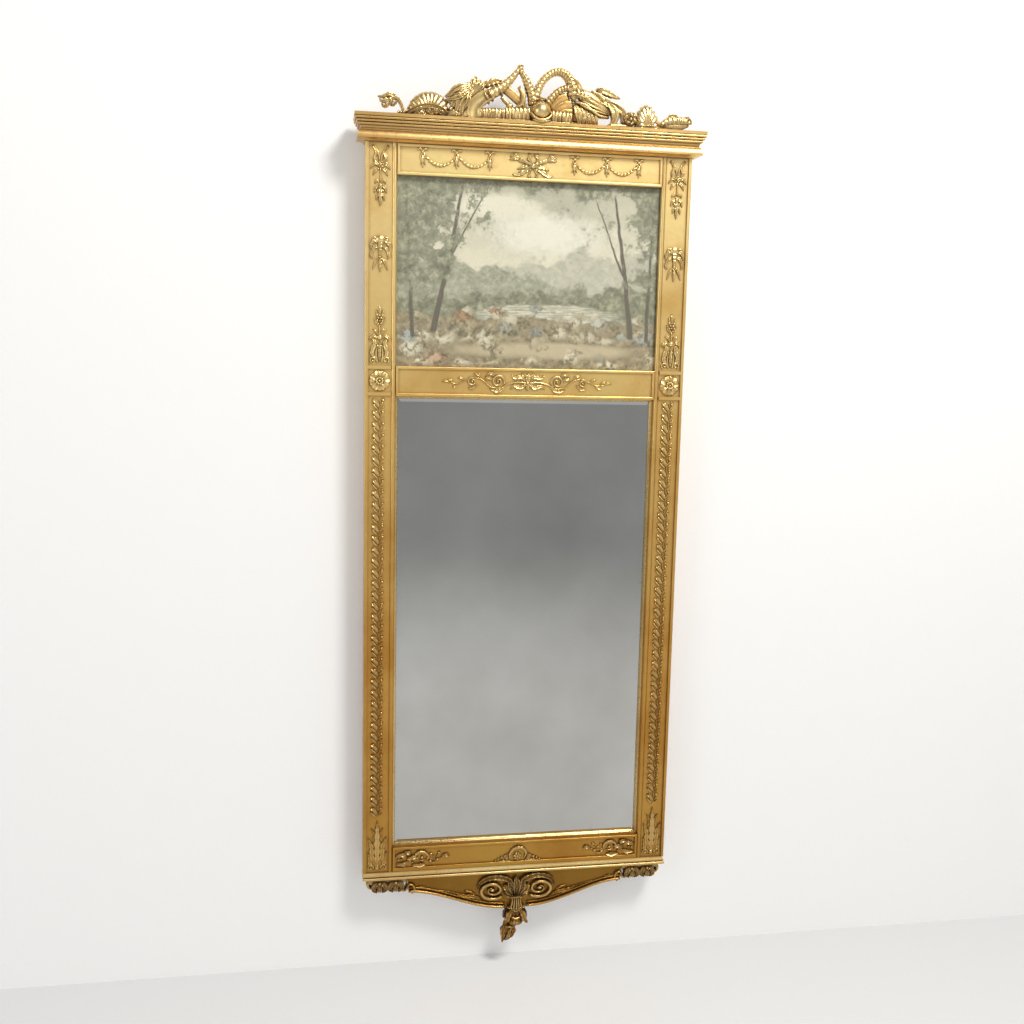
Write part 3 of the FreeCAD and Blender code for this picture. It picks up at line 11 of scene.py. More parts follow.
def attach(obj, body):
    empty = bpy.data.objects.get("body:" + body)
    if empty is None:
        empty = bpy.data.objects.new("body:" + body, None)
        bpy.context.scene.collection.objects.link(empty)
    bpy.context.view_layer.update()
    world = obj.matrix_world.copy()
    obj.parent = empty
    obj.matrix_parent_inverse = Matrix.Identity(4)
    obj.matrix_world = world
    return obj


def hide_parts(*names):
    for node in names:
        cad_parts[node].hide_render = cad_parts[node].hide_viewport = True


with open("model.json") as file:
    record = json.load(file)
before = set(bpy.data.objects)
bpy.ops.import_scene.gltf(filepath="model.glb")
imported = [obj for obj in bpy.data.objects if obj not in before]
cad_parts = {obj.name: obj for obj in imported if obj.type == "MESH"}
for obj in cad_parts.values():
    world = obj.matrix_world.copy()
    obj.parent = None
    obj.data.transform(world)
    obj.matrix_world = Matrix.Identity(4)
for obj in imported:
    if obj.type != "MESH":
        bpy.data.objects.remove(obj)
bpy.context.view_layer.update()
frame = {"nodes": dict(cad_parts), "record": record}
nodes = frame["nodes"]
scene = bpy.context.scene

# ---------------------------------------------------------------- camera, from the photograph's angle

YAW, PITCH, ROLL = (math.radians(angle) for angle in (10.174, 7.765, 1.232))
CAMERA_PLACE = (-0.3912, -2.0837, 0.0421)
FOCAL_PIXELS = 1114.19
FRAME_PIXELS = 1024
SENSOR = 36.0


def make_camera():
    """The camera that was fitted to the frame's corners in the photograph."""
    forward = Vector((math.sin(YAW) * math.cos(PITCH), math.cos(YAW) * math.cos(PITCH), -math.sin(PITCH)))
    level = Vector((math.cos(YAW), -math.sin(YAW), 0.0))
    upright = level.cross(forward)
    right = level * math.cos(ROLL) + upright * math.sin(ROLL)
    up = upright * math.cos(ROLL) - level * math.sin(ROLL)
    data = bpy.data.cameras.new("camera")
    data.sensor_width = SENSOR
    data.lens = FOCAL_PIXELS * SENSOR / FRAME_PIXELS
    data.clip_start = 0.05
    data.clip_end = 60.0
    camera = bpy.data.objects.new("camera", data)
    scene.collection.objects.link(camera)
    turn = Matrix((right, up, -forward)).transposed()
    camera.matrix_world = Matrix.Translation(CAMERA_PLACE) @ turn.to_4x4()
    scene.camera = camera


# ---------------------------------------------------------------- materials

WHITE = (1.0, 1.0, 1.0)


class Nodes:
    """A material's nodes, made and linked by short calls."""

    def __init__(self, name):
        self.material = bpy.data.materials.new(name)
        self.material.use_nodes = True
        self.tree = self.material.node_tree
        self.shader = self.tree.nodes["Principled BSDF"]
        self.coordinates = self.add("ShaderNodeTexCoord").outputs["Object"]

    def add(self, kind, **settings):
        node = self.tree.nodes.new(kind)
        for key, value in settings.items():
            if key in node.inputs:
                node.inputs[key].default_value = value
            else:
                setattr(node, key, value)
        return node

    def link(self, source, target):
        self.tree.links.new(source, target)

    def put(self, *pairs):
        """Sets numbers and colours on their sockets, and links what other nodes give."""
        for source, socket in pairs:
            if isinstance(source, (int, float)):
                socket.default_value = source
            elif isinstance(source, tuple):
                socket.default_value = (*source, 1.0)
            else:
                self.link(source, socket)

    def surface(self, colour, roughness, metallic=0.0):
        sockets = self.shader.inputs
        self.put((colour, sockets["Base Color"]), (roughness, sockets["Roughness"]), (metallic, sockets["Metallic"]))

    def noise(self, scale, detail=4.0, rough=0.55, stretch=None, source=None):
        vector = source or self.coordinates
        if stretch:
            mapping = self.add("ShaderNodeMapping", Scale=stretch)
            self.link(vector, mapping.inputs["Vector"])
            vector = mapping.outputs["Vector"]
        node = self.add("ShaderNodeTexNoise", Scale=scale, Detail=detail, Roughness=rough)
        self.link(vector, node.inputs["Vector"])
        return node.outputs["Fac"]

    def ramp(self, value, stops):
        node = self.add("ShaderNodeValToRGB")
        elements = node.color_ramp.elements
        while len(elements) < len(stops):
            elements.new(0.5)
        for element, (place, colour) in zip(elements, stops):
            element.position = place
            element.color = (*colour, 1.0)
        self.link(value, node.inputs["Fac"])
        return node.outputs["Color"]

    def grey(self, value, low, high, dark=0.0, light=1.0):
        """value from low..high mapped to dark..light."""
        node = self.add("ShaderNodeMapRange", **{"From Min": low, "From Max": high, "To Min": dark, "To Max": light})
        self.link(value, node.inputs["Value"])
        return node.outputs["Result"]

    def mix(self, factor, first, second, blend="MIX"):
        node = self.add("ShaderNodeMix", data_type="RGBA", blend_type=blend)
        self.put((factor, node.inputs[0]), (first, node.inputs[6]), (second, node.inputs[7]))
        return node.outputs[2]

    def maths(self, operation, *sources):
        node = self.add("ShaderNodeMath", operation=operation)
        self.put(*zip(sources, node.inputs))
        return node.outputs[0]

    def plus(self, first, second):
        return self.maths("ADD", first, second)

    def minus(self, first, second):
        return self.maths("SUBTRACT", first, second)

    def times(self, first, second):
        return self.maths("MULTIPLY", first, second)

    def most(self, first, second):
        return self.maths("MAXIMUM", first, second)

    def bump(self, height, strength, distance):
        node = self.add("ShaderNodeBump", Strength=strength, Distance=distance)
        self.link(height, node.inputs["Height"])
        self.link(node.outputs["Normal"], self.shader.inputs["Normal"])

    def cavity(self, reach):
        """1 on open surfaces, 0 deep in the carving."""
        return self.add("ShaderNodeAmbientOcclusion", samples=5, Distance=reach).outputs["AO"]

    def axis(self, name):
        node = self.add("ShaderNodeSeparateXYZ")
        self.link(self.coordinates, node.inputs[0])
        return node.outputs[name]


# Gold, the bole under it, and the dark brown of its hollows: wax, and painted shade.
# GOLD_PALE and GOLD_DARK are the leaf made paler and darker, partly patina and partly painted light and shade.
GOLD, GOLD_PALE, GOLD_DARK = (1.0, 0.73, 0.31), (1.0, 0.77, 0.37), (0.60, 0.42, 0.15)
# A pale colour put on the tops of carvings: a painted highlight.
TOP_HIGHLIGHT = (1.0, 0.79, 0.38)
BOLE = (0.34, 0.15, 0.055)
# The dark browns mixed into hollows, quirks and the feet of carvings: partly wax, partly painted shade.
WAX_AND_SHADE, DEEP_WAX_AND_SHADE = (0.20, 0.09, 0.02), (0.12, 0.05, 0.012)
# Its darkening and browning towards the foot, partly patina and partly painted shade for light that falls off
# downwards: tints by height, from 0 at the first of two heights in metres to 1 at the second.
SHADE_AND_PATINA_HEIGHTS = (-1.0, 0.5)
SHADE_AND_PATINA_TINTS = [(0.0, (0.42, 0.305, 0.14)), (0.35, (0.62, 0.47, 0.27)), (0.62, (0.90, 0.81, 0.64)), (0.82, WHITE)]


def gilding(name, leaf, worn, shade, roughness=0.34, seat=None, deep=3.0, shade_and_patina_share=1.0, reach=0.006, lines=()):
    """Gold leaf over bole: patchy and worn, with wax and painted shade in its hollows, and browner towards the foot,
    partly patina and partly painted shade.

    A carving gives the depth of its seat in millimetres: its foot gets wax and painted shade, and its top a painted
    pale highlight. lines are the heights of a moulding's quirks, which get wax and painted shade."""
    mat = Nodes(name)
    cloud = mat.noise(9.0)
    speck = mat.noise(170.0, detail=6.0, rough=0.7)
    fine = mat.noise(650.0, detail=3.0)
    dull = tuple(part * share for part, share in zip(leaf, (0.84, 0.76, 0.62)))
    bright = tuple(min(part * 1.1, 1.0) for part in leaf)
    tone = mat.ramp(cloud, [(0.3, dull), (0.52, leaf), (0.78, bright)])
    # Painted shade and patina: the leaf darkens and browns towards the foot.
    shade_and_patina = mat.mix(shade_and_patina_share, WHITE, mat.ramp(mat.grey(mat.axis("Z"), *SHADE_AND_PATINA_HEIGHTS), SHADE_AND_PATINA_TINTS))
    tone = mat.mix(1.0, tone, shade_and_patina, "MULTIPLY")
    # Painted shade and wax in the hollows, from ambient occlusion.
    wax_and_shade_mask = mat.grey(mat.cavity(reach), 0.35, 0.95, 0.95 if seat else 0.6, 0.0)
    if seat:
        # On carvings: a painted pale highlight on their tops, and painted shade with wax at their feet.
        rise = mat.grey(mat.axis("Y"), -(seat + 0.2) / 1000, -(seat + deep) / 1000)
        top_highlight = mat.mix(1.0, TOP_HIGHLIGHT, mat.mix(0.6 * shade_and_patina_share, WHITE, shade_and_patina), "MULTIPLY")
        tone = mat.mix(mat.grey(rise, 0.7, 1.0, 0.0, 0.6), tone, top_highlight)
        wax_and_shade_mask = mat.most(wax_and_shade_mask, mat.grey(rise, 0.0, 0.6, 0.88, 0.0))
    # Painted shade and wax along a moulding's quirks.
    for low, high in lines:
        middle, half = (low + high) / 2000, (high - low) / 2000
        away = mat.maths("ABSOLUTE", mat.minus(mat.axis("Z"), middle))
        wax_and_shade_mask = mat.most(wax_and_shade_mask, mat.grey(away, half + 0.0006, half - 0.0002, 0.0, 0.85))
    colour = mat.mix(mat.grey(speck, 0.6, 0.78, 0.0, 0.5), tone, worn)
    # Mixes in the wax and painted shade.
    colour = mat.mix(wax_and_shade_mask, colour, shade)
    mat.surface(colour, mat.grey(speck, 0.3, 0.75, roughness - 0.06, roughness + 0.12),
                mat.grey(wax_and_shade_mask, 0.0, 1.0, 0.94, 0.5))
    mat.bump(mat.plus(speck, mat.times(fine, 0.35)), 0.2 if seat else 0.12, 0.0005)
    return mat.material


# Heights in millimetres of the cornice's and the base board's quirks, which get painted shade and wax.
CORNICE_QUIRKS = ((438.3, 439.4), (442.6, 443.8), (447.4, 448.6), (452.2, 453.4), (457.2, 458.2), (418.0, 418.9))
BASE_QUIRKS = ((-951.2, -949.0),)
materials = {
    "gilt": gilding("gilding", GOLD, BOLE, WAX_AND_SHADE),
    "gilt_pale": gilding("gilding_pale", GOLD_PALE, (0.50, 0.28, 0.11), (0.20, 0.09, 0.025), roughness=0.28,
                         shade_and_patina_share=0.35),
    "gilt_dark": gilding("gilding_dark", GOLD_DARK, BOLE, DEEP_WAX_AND_SHADE),
    "cornice": gilding("gilding_cornice", (0.76, 0.50, 0.19), BOLE, DEEP_WAX_AND_SHADE, roughness=0.30, reach=0.012,
                       lines=CORNICE_QUIRKS),
    "base": gilding("gilding_base", GOLD_PALE, BOLE, WAX_AND_SHADE, roughness=0.30, shade_and_patina_share=0.5, lines=BASE_QUIRKS),
}
# Each slot's carved gold: leaf, bole, and wax with painted shade, then in millimetres the relief from the foot's
# painted shade and wax to the top's painted highlight, and how far below the carving's seat it starts.
CARVED = {
    "gilt": (GOLD, BOLE, (0.13, 0.055, 0.012), 3.2, 0.0),
    "gilt_pale": ((0.84, 0.54, 0.20), BOLE, DEEP_WAX_AND_SHADE, 8.0, 3.0),
    "gilt_dark": ((0.98, 0.66, 0.25), BOLE, (0.05, 0.022, 0.006), 7.0, 0.0),
}
carved = {}


def carved_gilding(slot, seat):
    """The slot's gilding for carvings that stand on one seat."""
    if (slot, seat) not in carved:
        *colours, deep, drop = CARVED[slot]
        carved[slot, seat] = gilding(f"{slot}_carved_{seat:.0f}", *colours, roughness=0.27, seat=seat - drop,
                                     deep=deep, reach=0.009)
    return carved[slot, seat]


def mirror_material():
    """Silvered plate, greyed over the years, with dark foxing towards its edges."""
    mat = Nodes("silvered_plate")
    silver = mat.ramp(mat.noise(3.5), [(0.3, (0.42, 0.42, 0.405)), (0.7, (0.54, 0.545, 0.53))])
    rim = mat.most(mat.grey(mat.maths("ABSOLUTE", mat.axis("X")), 0.225, 0.25),
                   mat.grey(mat.axis("Z"), -0.87, -0.9))
    spots = mat.times(mat.grey(mat.noise(90.0, detail=7.0, rough=0.75), 0.6, 0.72), rim)
    mat.surface(mat.mix(spots, silver, (0.10, 0.085, 0.07)), mat.grey(mat.noise(40.0), 0.3, 0.8, 0.005, 0.03), 1.0)
    return mat.material


def glass_material():
    """Old clear glass over the print: mostly see-through, with its gloss kept."""
    mat = Nodes("cover_glass")
    mat.shader.inputs["Alpha"].default_value = 0.07
    mat.shader.inputs["IOR"].default_value = 1.5
    tint = mat.ramp(mat.noise(5.0), [(0.3, (0.42, 0.46, 0.42)), (0.7, (0.52, 0.55, 0.50))])
    mat.surface(tint, mat.grey(mat.noise(30.0), 0.3, 0.8, 0.0, 0.03))
    return mat.material


PETALS = [(0.0, (0.96, 0.90, 0.72)), (0.42, (0.80, 0.70, 0.48)), (0.55, (0.45, 0.50, 0.50)),
          (0.70, (0.90, 0.84, 0.66)), (0.85, (0.62, 0.30, 0.12)), (1.0, (0.42, 0.38, 0.22))]


class Painting(Nodes):
    """A painted view built up from washes; places are in metres on the picture's face."""

    def __init__(self, name):
        super().__init__(name)
        self.x = self.axis("X")
        self.z = self.axis("Z")
        self.plain = self.coordinates
        turned = self.add("ShaderNodeMapping", Rotation=(0.5, 0.8, 0.3), Location=(0.31, 0.17, 0.23))
        self.link(self.coordinates, turned.inputs["Vector"])
        self.coordinates = turned.outputs["Vector"]
        self.leafy = self.noise(85.0, detail=7.0, rough=0.72)
        self.soft = self.noise(16.0, detail=5.0, rough=0.6)
        self.colour = WHITE

    def wash(self, mask, colour):
        self.colour = self.mix(mask, self.colour, colour)

    def stray(self, noise, reach, middle=0.5):
        """How far a noise strays from its middle, times reach."""
        return self.times(self.minus(noise, middle), reach)

    def mass(self, x, z, wide, high, rough=0.5, edge=0.12):
        """1 inside a ragged oval."""
        across = self.maths("DIVIDE", self.minus(self.x, x), wide)
        rise = self.maths("DIVIDE", self.minus(self.z, z), high)
        reach = self.plus(self.times(across, across), self.times(rise, rise))
        ragged = self.plus(self.leafy, self.soft)
        return self.grey(self.plus(reach, self.stray(ragged, rough * 2.2, middle=1.0)), 1.0 + edge, 1.0 - edge)

    def below(self, level, slope=0.0, bumps=0.0, edge=0.003):
        """1 under a bumpy line."""
        line = self.plus(self.maths("MULTIPLY_ADD", self.x, slope, level), self.stray(self.soft, bumps))
        return self.grey(self.minus(self.z, line), edge, -edge)

    def trunk(self, x, foot, top, wide, lean):
        """1 on a leaning trunk that narrows upwards."""
        rise = self.minus(self.z, foot)
        middle = self.plus(self.maths("MULTIPLY_ADD", rise, lean, x), self.stray(self.soft, 0.012))
        away = self.maths("ABSOLUTE", self.minus(self.x, middle))
        half = self.grey(rise, 0.0, top - foot, wide, wide * 0.35)
        ends = self.times(self.grey(self.z, foot - 0.002, foot + 0.002), self.grey(self.z, top, top - 0.01))
        return self.times(self.grey(self.minus(away, half), 0.0012, -0.0008), ends)

    def shrubs(self, scale, top, low, share):
        """Rounded flowering shrubs of mixed colours between two heights. share holds how many of the places stay
        bare and how strongly the rest are painted."""
        warp = self.add("ShaderNodeVectorMath", operation="MULTIPLY_ADD")
        warp.inputs[1].default_value = (1.0, 0.0, 1.25)
        self.link(self.plain, warp.inputs[0])
        sway = self.add("ShaderNodeCombineXYZ")
        self.put((self.stray(self.leafy, 0.07), sway.inputs["X"]), (self.stray(self.leafy, -0.05), sway.inputs["Z"]))
        self.link(sway.outputs[0], warp.inputs[2])
        cells = self.add("ShaderNodeTexVoronoi", Scale=scale)
        self.link(warp.outputs[0], cells.inputs["Vector"])
        pick = self.add("ShaderNodeSeparateColor")
        self.link(cells.outputs["Color"], pick.inputs[0])
        petals = self.ramp(pick.outputs[0], PETALS)
        shade = self.ramp(self.leafy, [(0.38, (0.16, 0.15, 0.09)), (0.46, (0.55, 0.50, 0.36)), (0.54, WHITE)])
        round_off = self.ramp(cells.outputs["Distance"], [(0.25, WHITE), (0.62, (0.50, 0.45, 0.33))])
        petals = self.mix(1.0, self.mix(1.0, petals, shade, "MULTIPLY"), round_off, "MULTIPLY")
        band = self.times(self.below(top, bumps=0.07), self.minus(1.0, self.below(low, bumps=0.03)))
        grown = self.times(self.grey(pick.outputs[1], share[0], share[0] + 0.05),
                           self.grey(cells.outputs["Distance"], 0.62, 0.5))
        self.wash(self.times(self.times(band, grown), share[1]), petals)

    def foliage(self, dark, middle, light):
        return self.ramp(self.leafy, [(0.36, dark), (0.52, middle), (0.66, light)])


BARK = (0.10, 0.075, 0.045)
# x, foot, top, half width and lean of each trunk
TRUNKS = ((0.197, 0.085, 0.35, 0.0050, -0.14), (0.226, 0.08, 0.33, 0.0036, 0.03),
          (-0.176, 0.09, 0.36, 0.0056, 0.20), (-0.214, 0.08, 0.35, 0.0038, -0.05),
          (0.178, 0.20, 0.34, 0.0020, -0.40), (-0.150, 0.22, 0.36, 0.0022, 0.55))


def print_material():
    """A generic wooded lake view in greyed olive, cream and brown, with flowering shrubs in its foreground."""
    view = Painting("landscape_print")
    sky = view.grey(view.plus(view.z, view.times(view.soft, 0.22)), 0.23, 0.50)
    view.colour = view.ramp(sky, [(0.0, (1.0, 0.93, 0.72)), (0.4, (0.88, 0.83, 0.64)), (0.7, (0.62, 0.60, 0.45)),
                                  (1.0, (0.36, 0.36, 0.27))])
    # clouds
    view.wash(view.mass(0.03, 0.27, 0.10, 0.035, rough=1.3, edge=0.7), (1.0, 0.97, 0.82))
    view.wash(view.mass(-0.06, 0.315, 0.07, 0.02, rough=1.3, edge=0.7), (0.94, 0.90, 0.72))
    # far, middle and near woods
    view.wash(view.below(0.215, slope=0.14, bumps=0.14, edge=0.006),
              view.foliage((0.52, 0.51, 0.39), (0.64, 0.62, 0.48), (0.76, 0.73, 0.57)))
    view.wash(view.below(0.190, slope=-0.20, bumps=0.12),
              view.foliage((0.30, 0.30, 0.20), (0.46, 0.46, 0.33), (0.62, 0.60, 0.45)))
    view.wash(view.below(0.162, slope=0.05, bumps=0.09),
              view.foliage((0.13, 0.135, 0.075), (0.28, 0.28, 0.17), (0.52, 0.50, 0.33)))
    # lake
    ripple = view.noise(30.0, detail=4.0, stretch=(1.0, 1.0, 16.0), source=view.plain)
    view.wash(view.mass(0.035, 0.126, 0.13, 0.018, rough=0.8, edge=0.2),
              view.ramp(ripple, [(0.4, (0.42, 0.41, 0.31)), (0.55, (0.80, 0.76, 0.58)), (0.68, (1.0, 0.97, 0.80))]))
    # bank, path and shrubs
    ground = [(0.35, (0.14, 0.11, 0.055)), (0.5, (0.34, 0.27, 0.14)), (0.7, (0.62, 0.51, 0.31))]
    view.wash(view.below(0.116, slope=-0.04, bumps=0.08), view.ramp(view.leafy, ground))
    view.wash(view.mass(0.03, 0.060, 0.15, 0.014, rough=0.9, edge=0.5), (0.66, 0.55, 0.34))
    view.shrubs(34.0, 0.134, 0.078, (0.38, 0.85))
    view.shrubs(25.0, 0.094, 0.034, (0.52, 1.0))
    # trees at both sides, their crowns outside a ragged arch, and the light on the crowns
    for x, foot, top, wide, lean in TRUNKS:
        view.wash(view.trunk(x, foot, top, wide, lean), BARK)
    across = view.maths("DIVIDE", view.minus(view.x, 0.03), 0.245)
    rise = view.maths("DIVIDE", view.minus(view.z, 0.10), 0.275)
    crowd = view.plus(view.times(across, across), view.maths("POWER", rise, 3.0))
    crowd = view.plus(view.plus(crowd, view.stray(view.soft, 2.6)), view.stray(view.leafy, 1.5))
    above = view.grey(view.z, 0.14, 0.19)
    view.wash(view.times(view.grey(crowd, 0.66, 0.80, 0.0, 0.92), above),
              view.foliage((0.09, 0.095, 0.05), (0.23, 0.235, 0.14), (0.47, 0.46, 0.30)))
    lit = view.grey(view.noise(42.0, detail=6.0, rough=0.7), 0.52, 0.60, 0.0, 0.7)
    view.wash(view.times(view.times(view.grey(crowd, 0.80, 0.95), lit), above),
              view.foliage((0.20, 0.205, 0.12), (0.42, 0.42, 0.28), (0.74, 0.71, 0.50)))
    # old paper's tone and tooth
    tooth = view.noise(420.0, detail=3.0)
    aged = view.mix(0.05, view.colour, (0.86, 0.76, 0.52))
    grain = view.ramp(tooth, [(0.3, (0.88, 0.88, 0.87)), (0.7, WHITE)])
    view.surface(view.mix(1.0, aged, grain, "MULTIPLY"), view.grey(tooth, 0.2, 0.8, 0.55, 0.72))
    view.bump(tooth, 0.15, 0.0002)
    return view.material


def wood_material():
    """Old pine with its grain along the boards."""
    mat = Nodes("old_pine")
    grain = mat.noise(18.0, detail=6.0, rough=0.65, stretch=(1.0, 6.0, 9.0))
    colour = mat.ramp(grain, [(0.3, (0.20, 0.12, 0.06)), (0.5, (0.36, 0.23, 0.12)), (0.75, (0.48, 0.33, 0.19))])
    mat.surface(colour, mat.grey(grain, 0.2, 0.8, 0.6, 0.85))
    mat.bump(grain, 0.4, 0.001)
    return mat.material


def iron_material():
    """Dark wrought iron with a little rust."""
    mat = Nodes("dark_iron")
    spots = mat.noise(120.0, detail=5.0)
    colour = mat.ramp(spots, [(0.35, (0.09, 0.085, 0.08)), (0.6, (0.2, 0.19, 0.18)), (0.75, (0.25, 0.13, 0.07))])
    mat.surface(colour, mat.grey(spots, 0.3, 0.8, 0.35, 0.65), 0.85)
    mat.bump(spots, 0.3, 0.0004)
    return mat.material


materials["mirror"] = mirror_material()
materials["glass"] = glass_material()
materials["print"] = print_material()
materials["pine"] = wood_material()
materials["iron"] = iron_material()


def dress(thing, slot):
    """Gives an object one material and no other."""
    thing.data.materials.clear()
    thing.data.materials.append(materials[slot])


for row in frame["record"]["subparts"]:
    dress(nodes[row["node"]], row["material_slot"])
dress(nodes["mirror_slip"], "gilt_pale")
for node in ("cornice_front", "cornice_return_left", "cornice_return_right"):
    dress(nodes[node], "cornice")

# ---------------------------------------------------------------- carving

# shares of a form's height, from one edge to the other
ROUND = (0.0, 0.5, 0.8, 0.95, 1.0, 0.95, 0.8, 0.5, 0.0)
LEAF = (0.2, 0.72, 1.0, 0.85, 0.5, 0.85, 1.0, 0.72, 0.2)
CUPPED = (0.55, 1.0, 0.85, 0.6, 0.5, 0.6, 0.85, 1.0, 0.55)
RIDGED = (0.0, 0.55, 0.9, 0.6, 1.0, 0.6, 0.9, 0.55, 0.0)
# In millimetres: how far a form's foot sinks into its seat, how far each seat and the pendant's axis are from
# the wall, and the height of the cornice's top.
SINK = 0.4
FIELD, APRON, APRON_END, HUSK, BUD, CREST, KNOT = 38.0, 36.0, 28.0, 40.0, 33.0, 47.0, 50.5
PENDANT_AXIS = 27.0
CORNICE_TOP = 464.0
BOTH = (-1, 1)


def smooth(points, count):
    """count values along a smooth line through the points."""
    points = np.array(points, float)
    if points.ndim == 1:
        points = points[:, None]
    padded = np.vstack([2 * points[0] - points[1], points, 2 * points[-1] - points[-2]])
    along = np.linspace(0, len(points) - 1, count)
    start = np.minimum(along.astype(int), len(points) - 2)
    part = (along - start)[:, None]
    a, b, c, d = (padded[start + step] for step in range(4))
    return 0.5 * (2 * b + (c - a) * part + (2 * a - 5 * b + 4 * c - d) * part**2 + (3 * b - a - 3 * c + d) * part**3)


def spiral(x, z, radius, turns, start, end_share=0.2, count=None):
    """Places along a spiral that closes in on (x, z); turns above 0 run anticlockwise, start is in degrees."""
    count = count or max(int(abs(turns) * 10), 6)
    share = np.linspace(0, 1, count)
    reach = radius * (1 - (1 - end_share) * share)
    angle = math.radians(start) + 2 * math.pi * turns * share
    return np.stack([x + reach * np.cos(angle), z + reach * np.sin(angle)], 1)


class Carving:
    """One carved piece: closed relief forms in millimetres, gathered into a mesh.

    A full carving is in the round, and its forms' backs are like their fronts. With flip at -1 a form is mirrored:
    a loop of for work.flip in BOTH makes its forms on both sides, and leaves flip at 1."""

    def __init__(self, name, slot, *replaced, x=0.0, z=0.0, seat=FIELD, flip=1, full=False):
        self.name, self.slot, self.replaced = name, slot, replaced
        self.points, self.faces = [], []
        self.total = 0
        self.x, self.z, self.seat, self.flip, self.full = x, z, seat, flip, full

    def rings(self, rings):
        """Joins equal rings of points into a closed skin."""
        rings = np.array(rings, float)
        count, around = rings.shape[:2]
        self.points.append(rings.reshape(-1, 3))
        base = self.total
        for step in range(count - 1):
            low = base + step * around
            for corner in range(around):
                after = (corner + 1) % around
                self.faces.append((low + corner, low + after, low + around + after, low + around + corner))
        self.faces.append(tuple(range(base + around - 1, base - 1, -1)))
        self.faces.append(tuple(range(base + (count - 1) * around, base + count * around)))
        self.total += count * around

    def form(self, points, widths, heights, profile=ROUND, lobes=0, cut=0.35, ribs=0, rib=0.25, count=None,
             lift=0.0):
        """A strip along a smooth line: half widths and heights along it, profile across it. Points hold
        (x, z) or (x, z, lift). lobes notch its edges, ribs cross it."""
        points = np.array([(*point, 0.0)[:3] for point in points], float)
        count = count or max(3 * len(points), 5 * lobes + 1, 5 * ribs + 1, 9)
        line = smooth(points, count)
        raised = line[:, 2]
        share = np.linspace(0, 1, count)
        wide = np.maximum(smooth(widths, count)[:, 0], 0.08)
        tall = np.maximum(smooth(heights, count)[:, 0], 0.12)
        if lobes:
            bulge = np.sin(np.pi * ((share * lobes) % 1.0)) ** 0.7
            wide = wide * (1 - cut * (1 - bulge))
            tall = tall * (1 - 0.45 * cut * (1 - bulge))
        if ribs:
            swell = np.abs(np.sin(np.pi * share * ribs)) ** 0.6
            tall = tall * (1 - rib * (1 - swell))
            wide = wide * (1 - 0.25 * rib * (1 - swell))
        along = np.gradient(line[:, :2], axis=0)
        along /= np.maximum(np.linalg.norm(along, axis=1), 1e-6)[:, None]
        side = np.stack([-along[:, 1], along[:, 0]], 1)
        shape = np.array(profile)
        spread = np.sin(np.linspace(-math.pi / 2, math.pi / 2, len(shape)))
        front = tall[:, None] * shape[None, :]
        back = -front[:, ::-1] if self.full else np.full((count, 2), -SINK)
        reach = np.concatenate([spread, spread[::-1] if self.full else [1.0, -1.0]])
        if self.full:
            front, back = front + 0.15, back - 0.15
        depth = np.concatenate([front, back], 1) + raised[:, None] + lift
        flat = line[:, None, :2] + side[:, None, :] * (wide[:, None] * reach[None, :])[:, :, None]
        place = np.empty((count, len(reach), 3))
        place[:, :, 0] = self.x + self.flip * flat[:, :, 0]
        place[:, :, 1] = -(self.seat + depth)
        place[:, :, 2] = self.z + flat[:, :, 1]
        self.rings(place)

    def leaf(self, points, width, height, lobes=0, cut=0.35, profile=LEAF, lift=0.0, tip=0.06, **more):
        """A leaf from its root to its tip; width is across its broadest place."""
        half = width / 2
        self.form(points, (half * 0.35, half * 0.85, half, half * 0.7, half * tip),
                  (height * 0.6, height * 0.9, height, height * 0.85, height * 0.4), profile, lobes, cut,
                  lift=lift, **more)

    def stem(self, points, start, end, height, **more):
        """A stalk that goes from one width to another."""
        self.form(points, (start / 2, (start + end) / 4, end / 2), (height, height * 0.9, height * 0.7), **more)

    def berry(self, x, z, radius, height, lift=0.0, around=12, wide=1.0):
        """A rounded boss that stands on its seat, or a whole ball in a full carving."""
        low = -math.pi / 2 + 0.2 if self.full else 0.0
        rings = []
        for tilt in np.linspace(low, math.pi / 2 - 0.12, 9 if self.full else 5):
            turn = np.linspace(0, 2 * math.pi, around, endpoint=False)
            ring = np.empty((around, 3))
            ring[:, 0] = self.x + self.flip * (x + radius * wide * math.cos(tilt) * np.cos(turn))
            ring[:, 2] = self.z + z + radius * math.cos(tilt) * np.sin(turn)
            ring[:, 1] = -(self.seat + lift + height * math.sin(tilt))
            rings.append(ring)
        if not self.full:
            rings[0][:, 1] += SINK
        self.rings(rings)

    def finish(self):
        """Makes the piece, and hides the parts that it stands in for."""
        mesh = bpy.data.meshes.new(self.name)
        mesh.from_pydata((np.concatenate(self.points) * 0.001).tolist(), [], self.faces)
        work = bmesh.new()
        work.from_mesh(mesh)
        bmesh.ops.recalc_face_normals(work, faces=work.faces)
        work.to_mesh(mesh)
        work.free()
        mesh.polygons.foreach_set("use_smooth", [True] * len(mesh.polygons))
        mesh.materials.append(carved_gilding(self.slot, self.seat))
        piece = bpy.data.objects.new(self.name, mesh)
        scene.collection.objects.link(piece)
        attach(piece, "frame")
        if self.replaced:
            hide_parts(*self.replaced)
        return piece


SIDES = ((-1, "left"), (1, "right"))
STILE_X = 273.75  # the stiles' middles


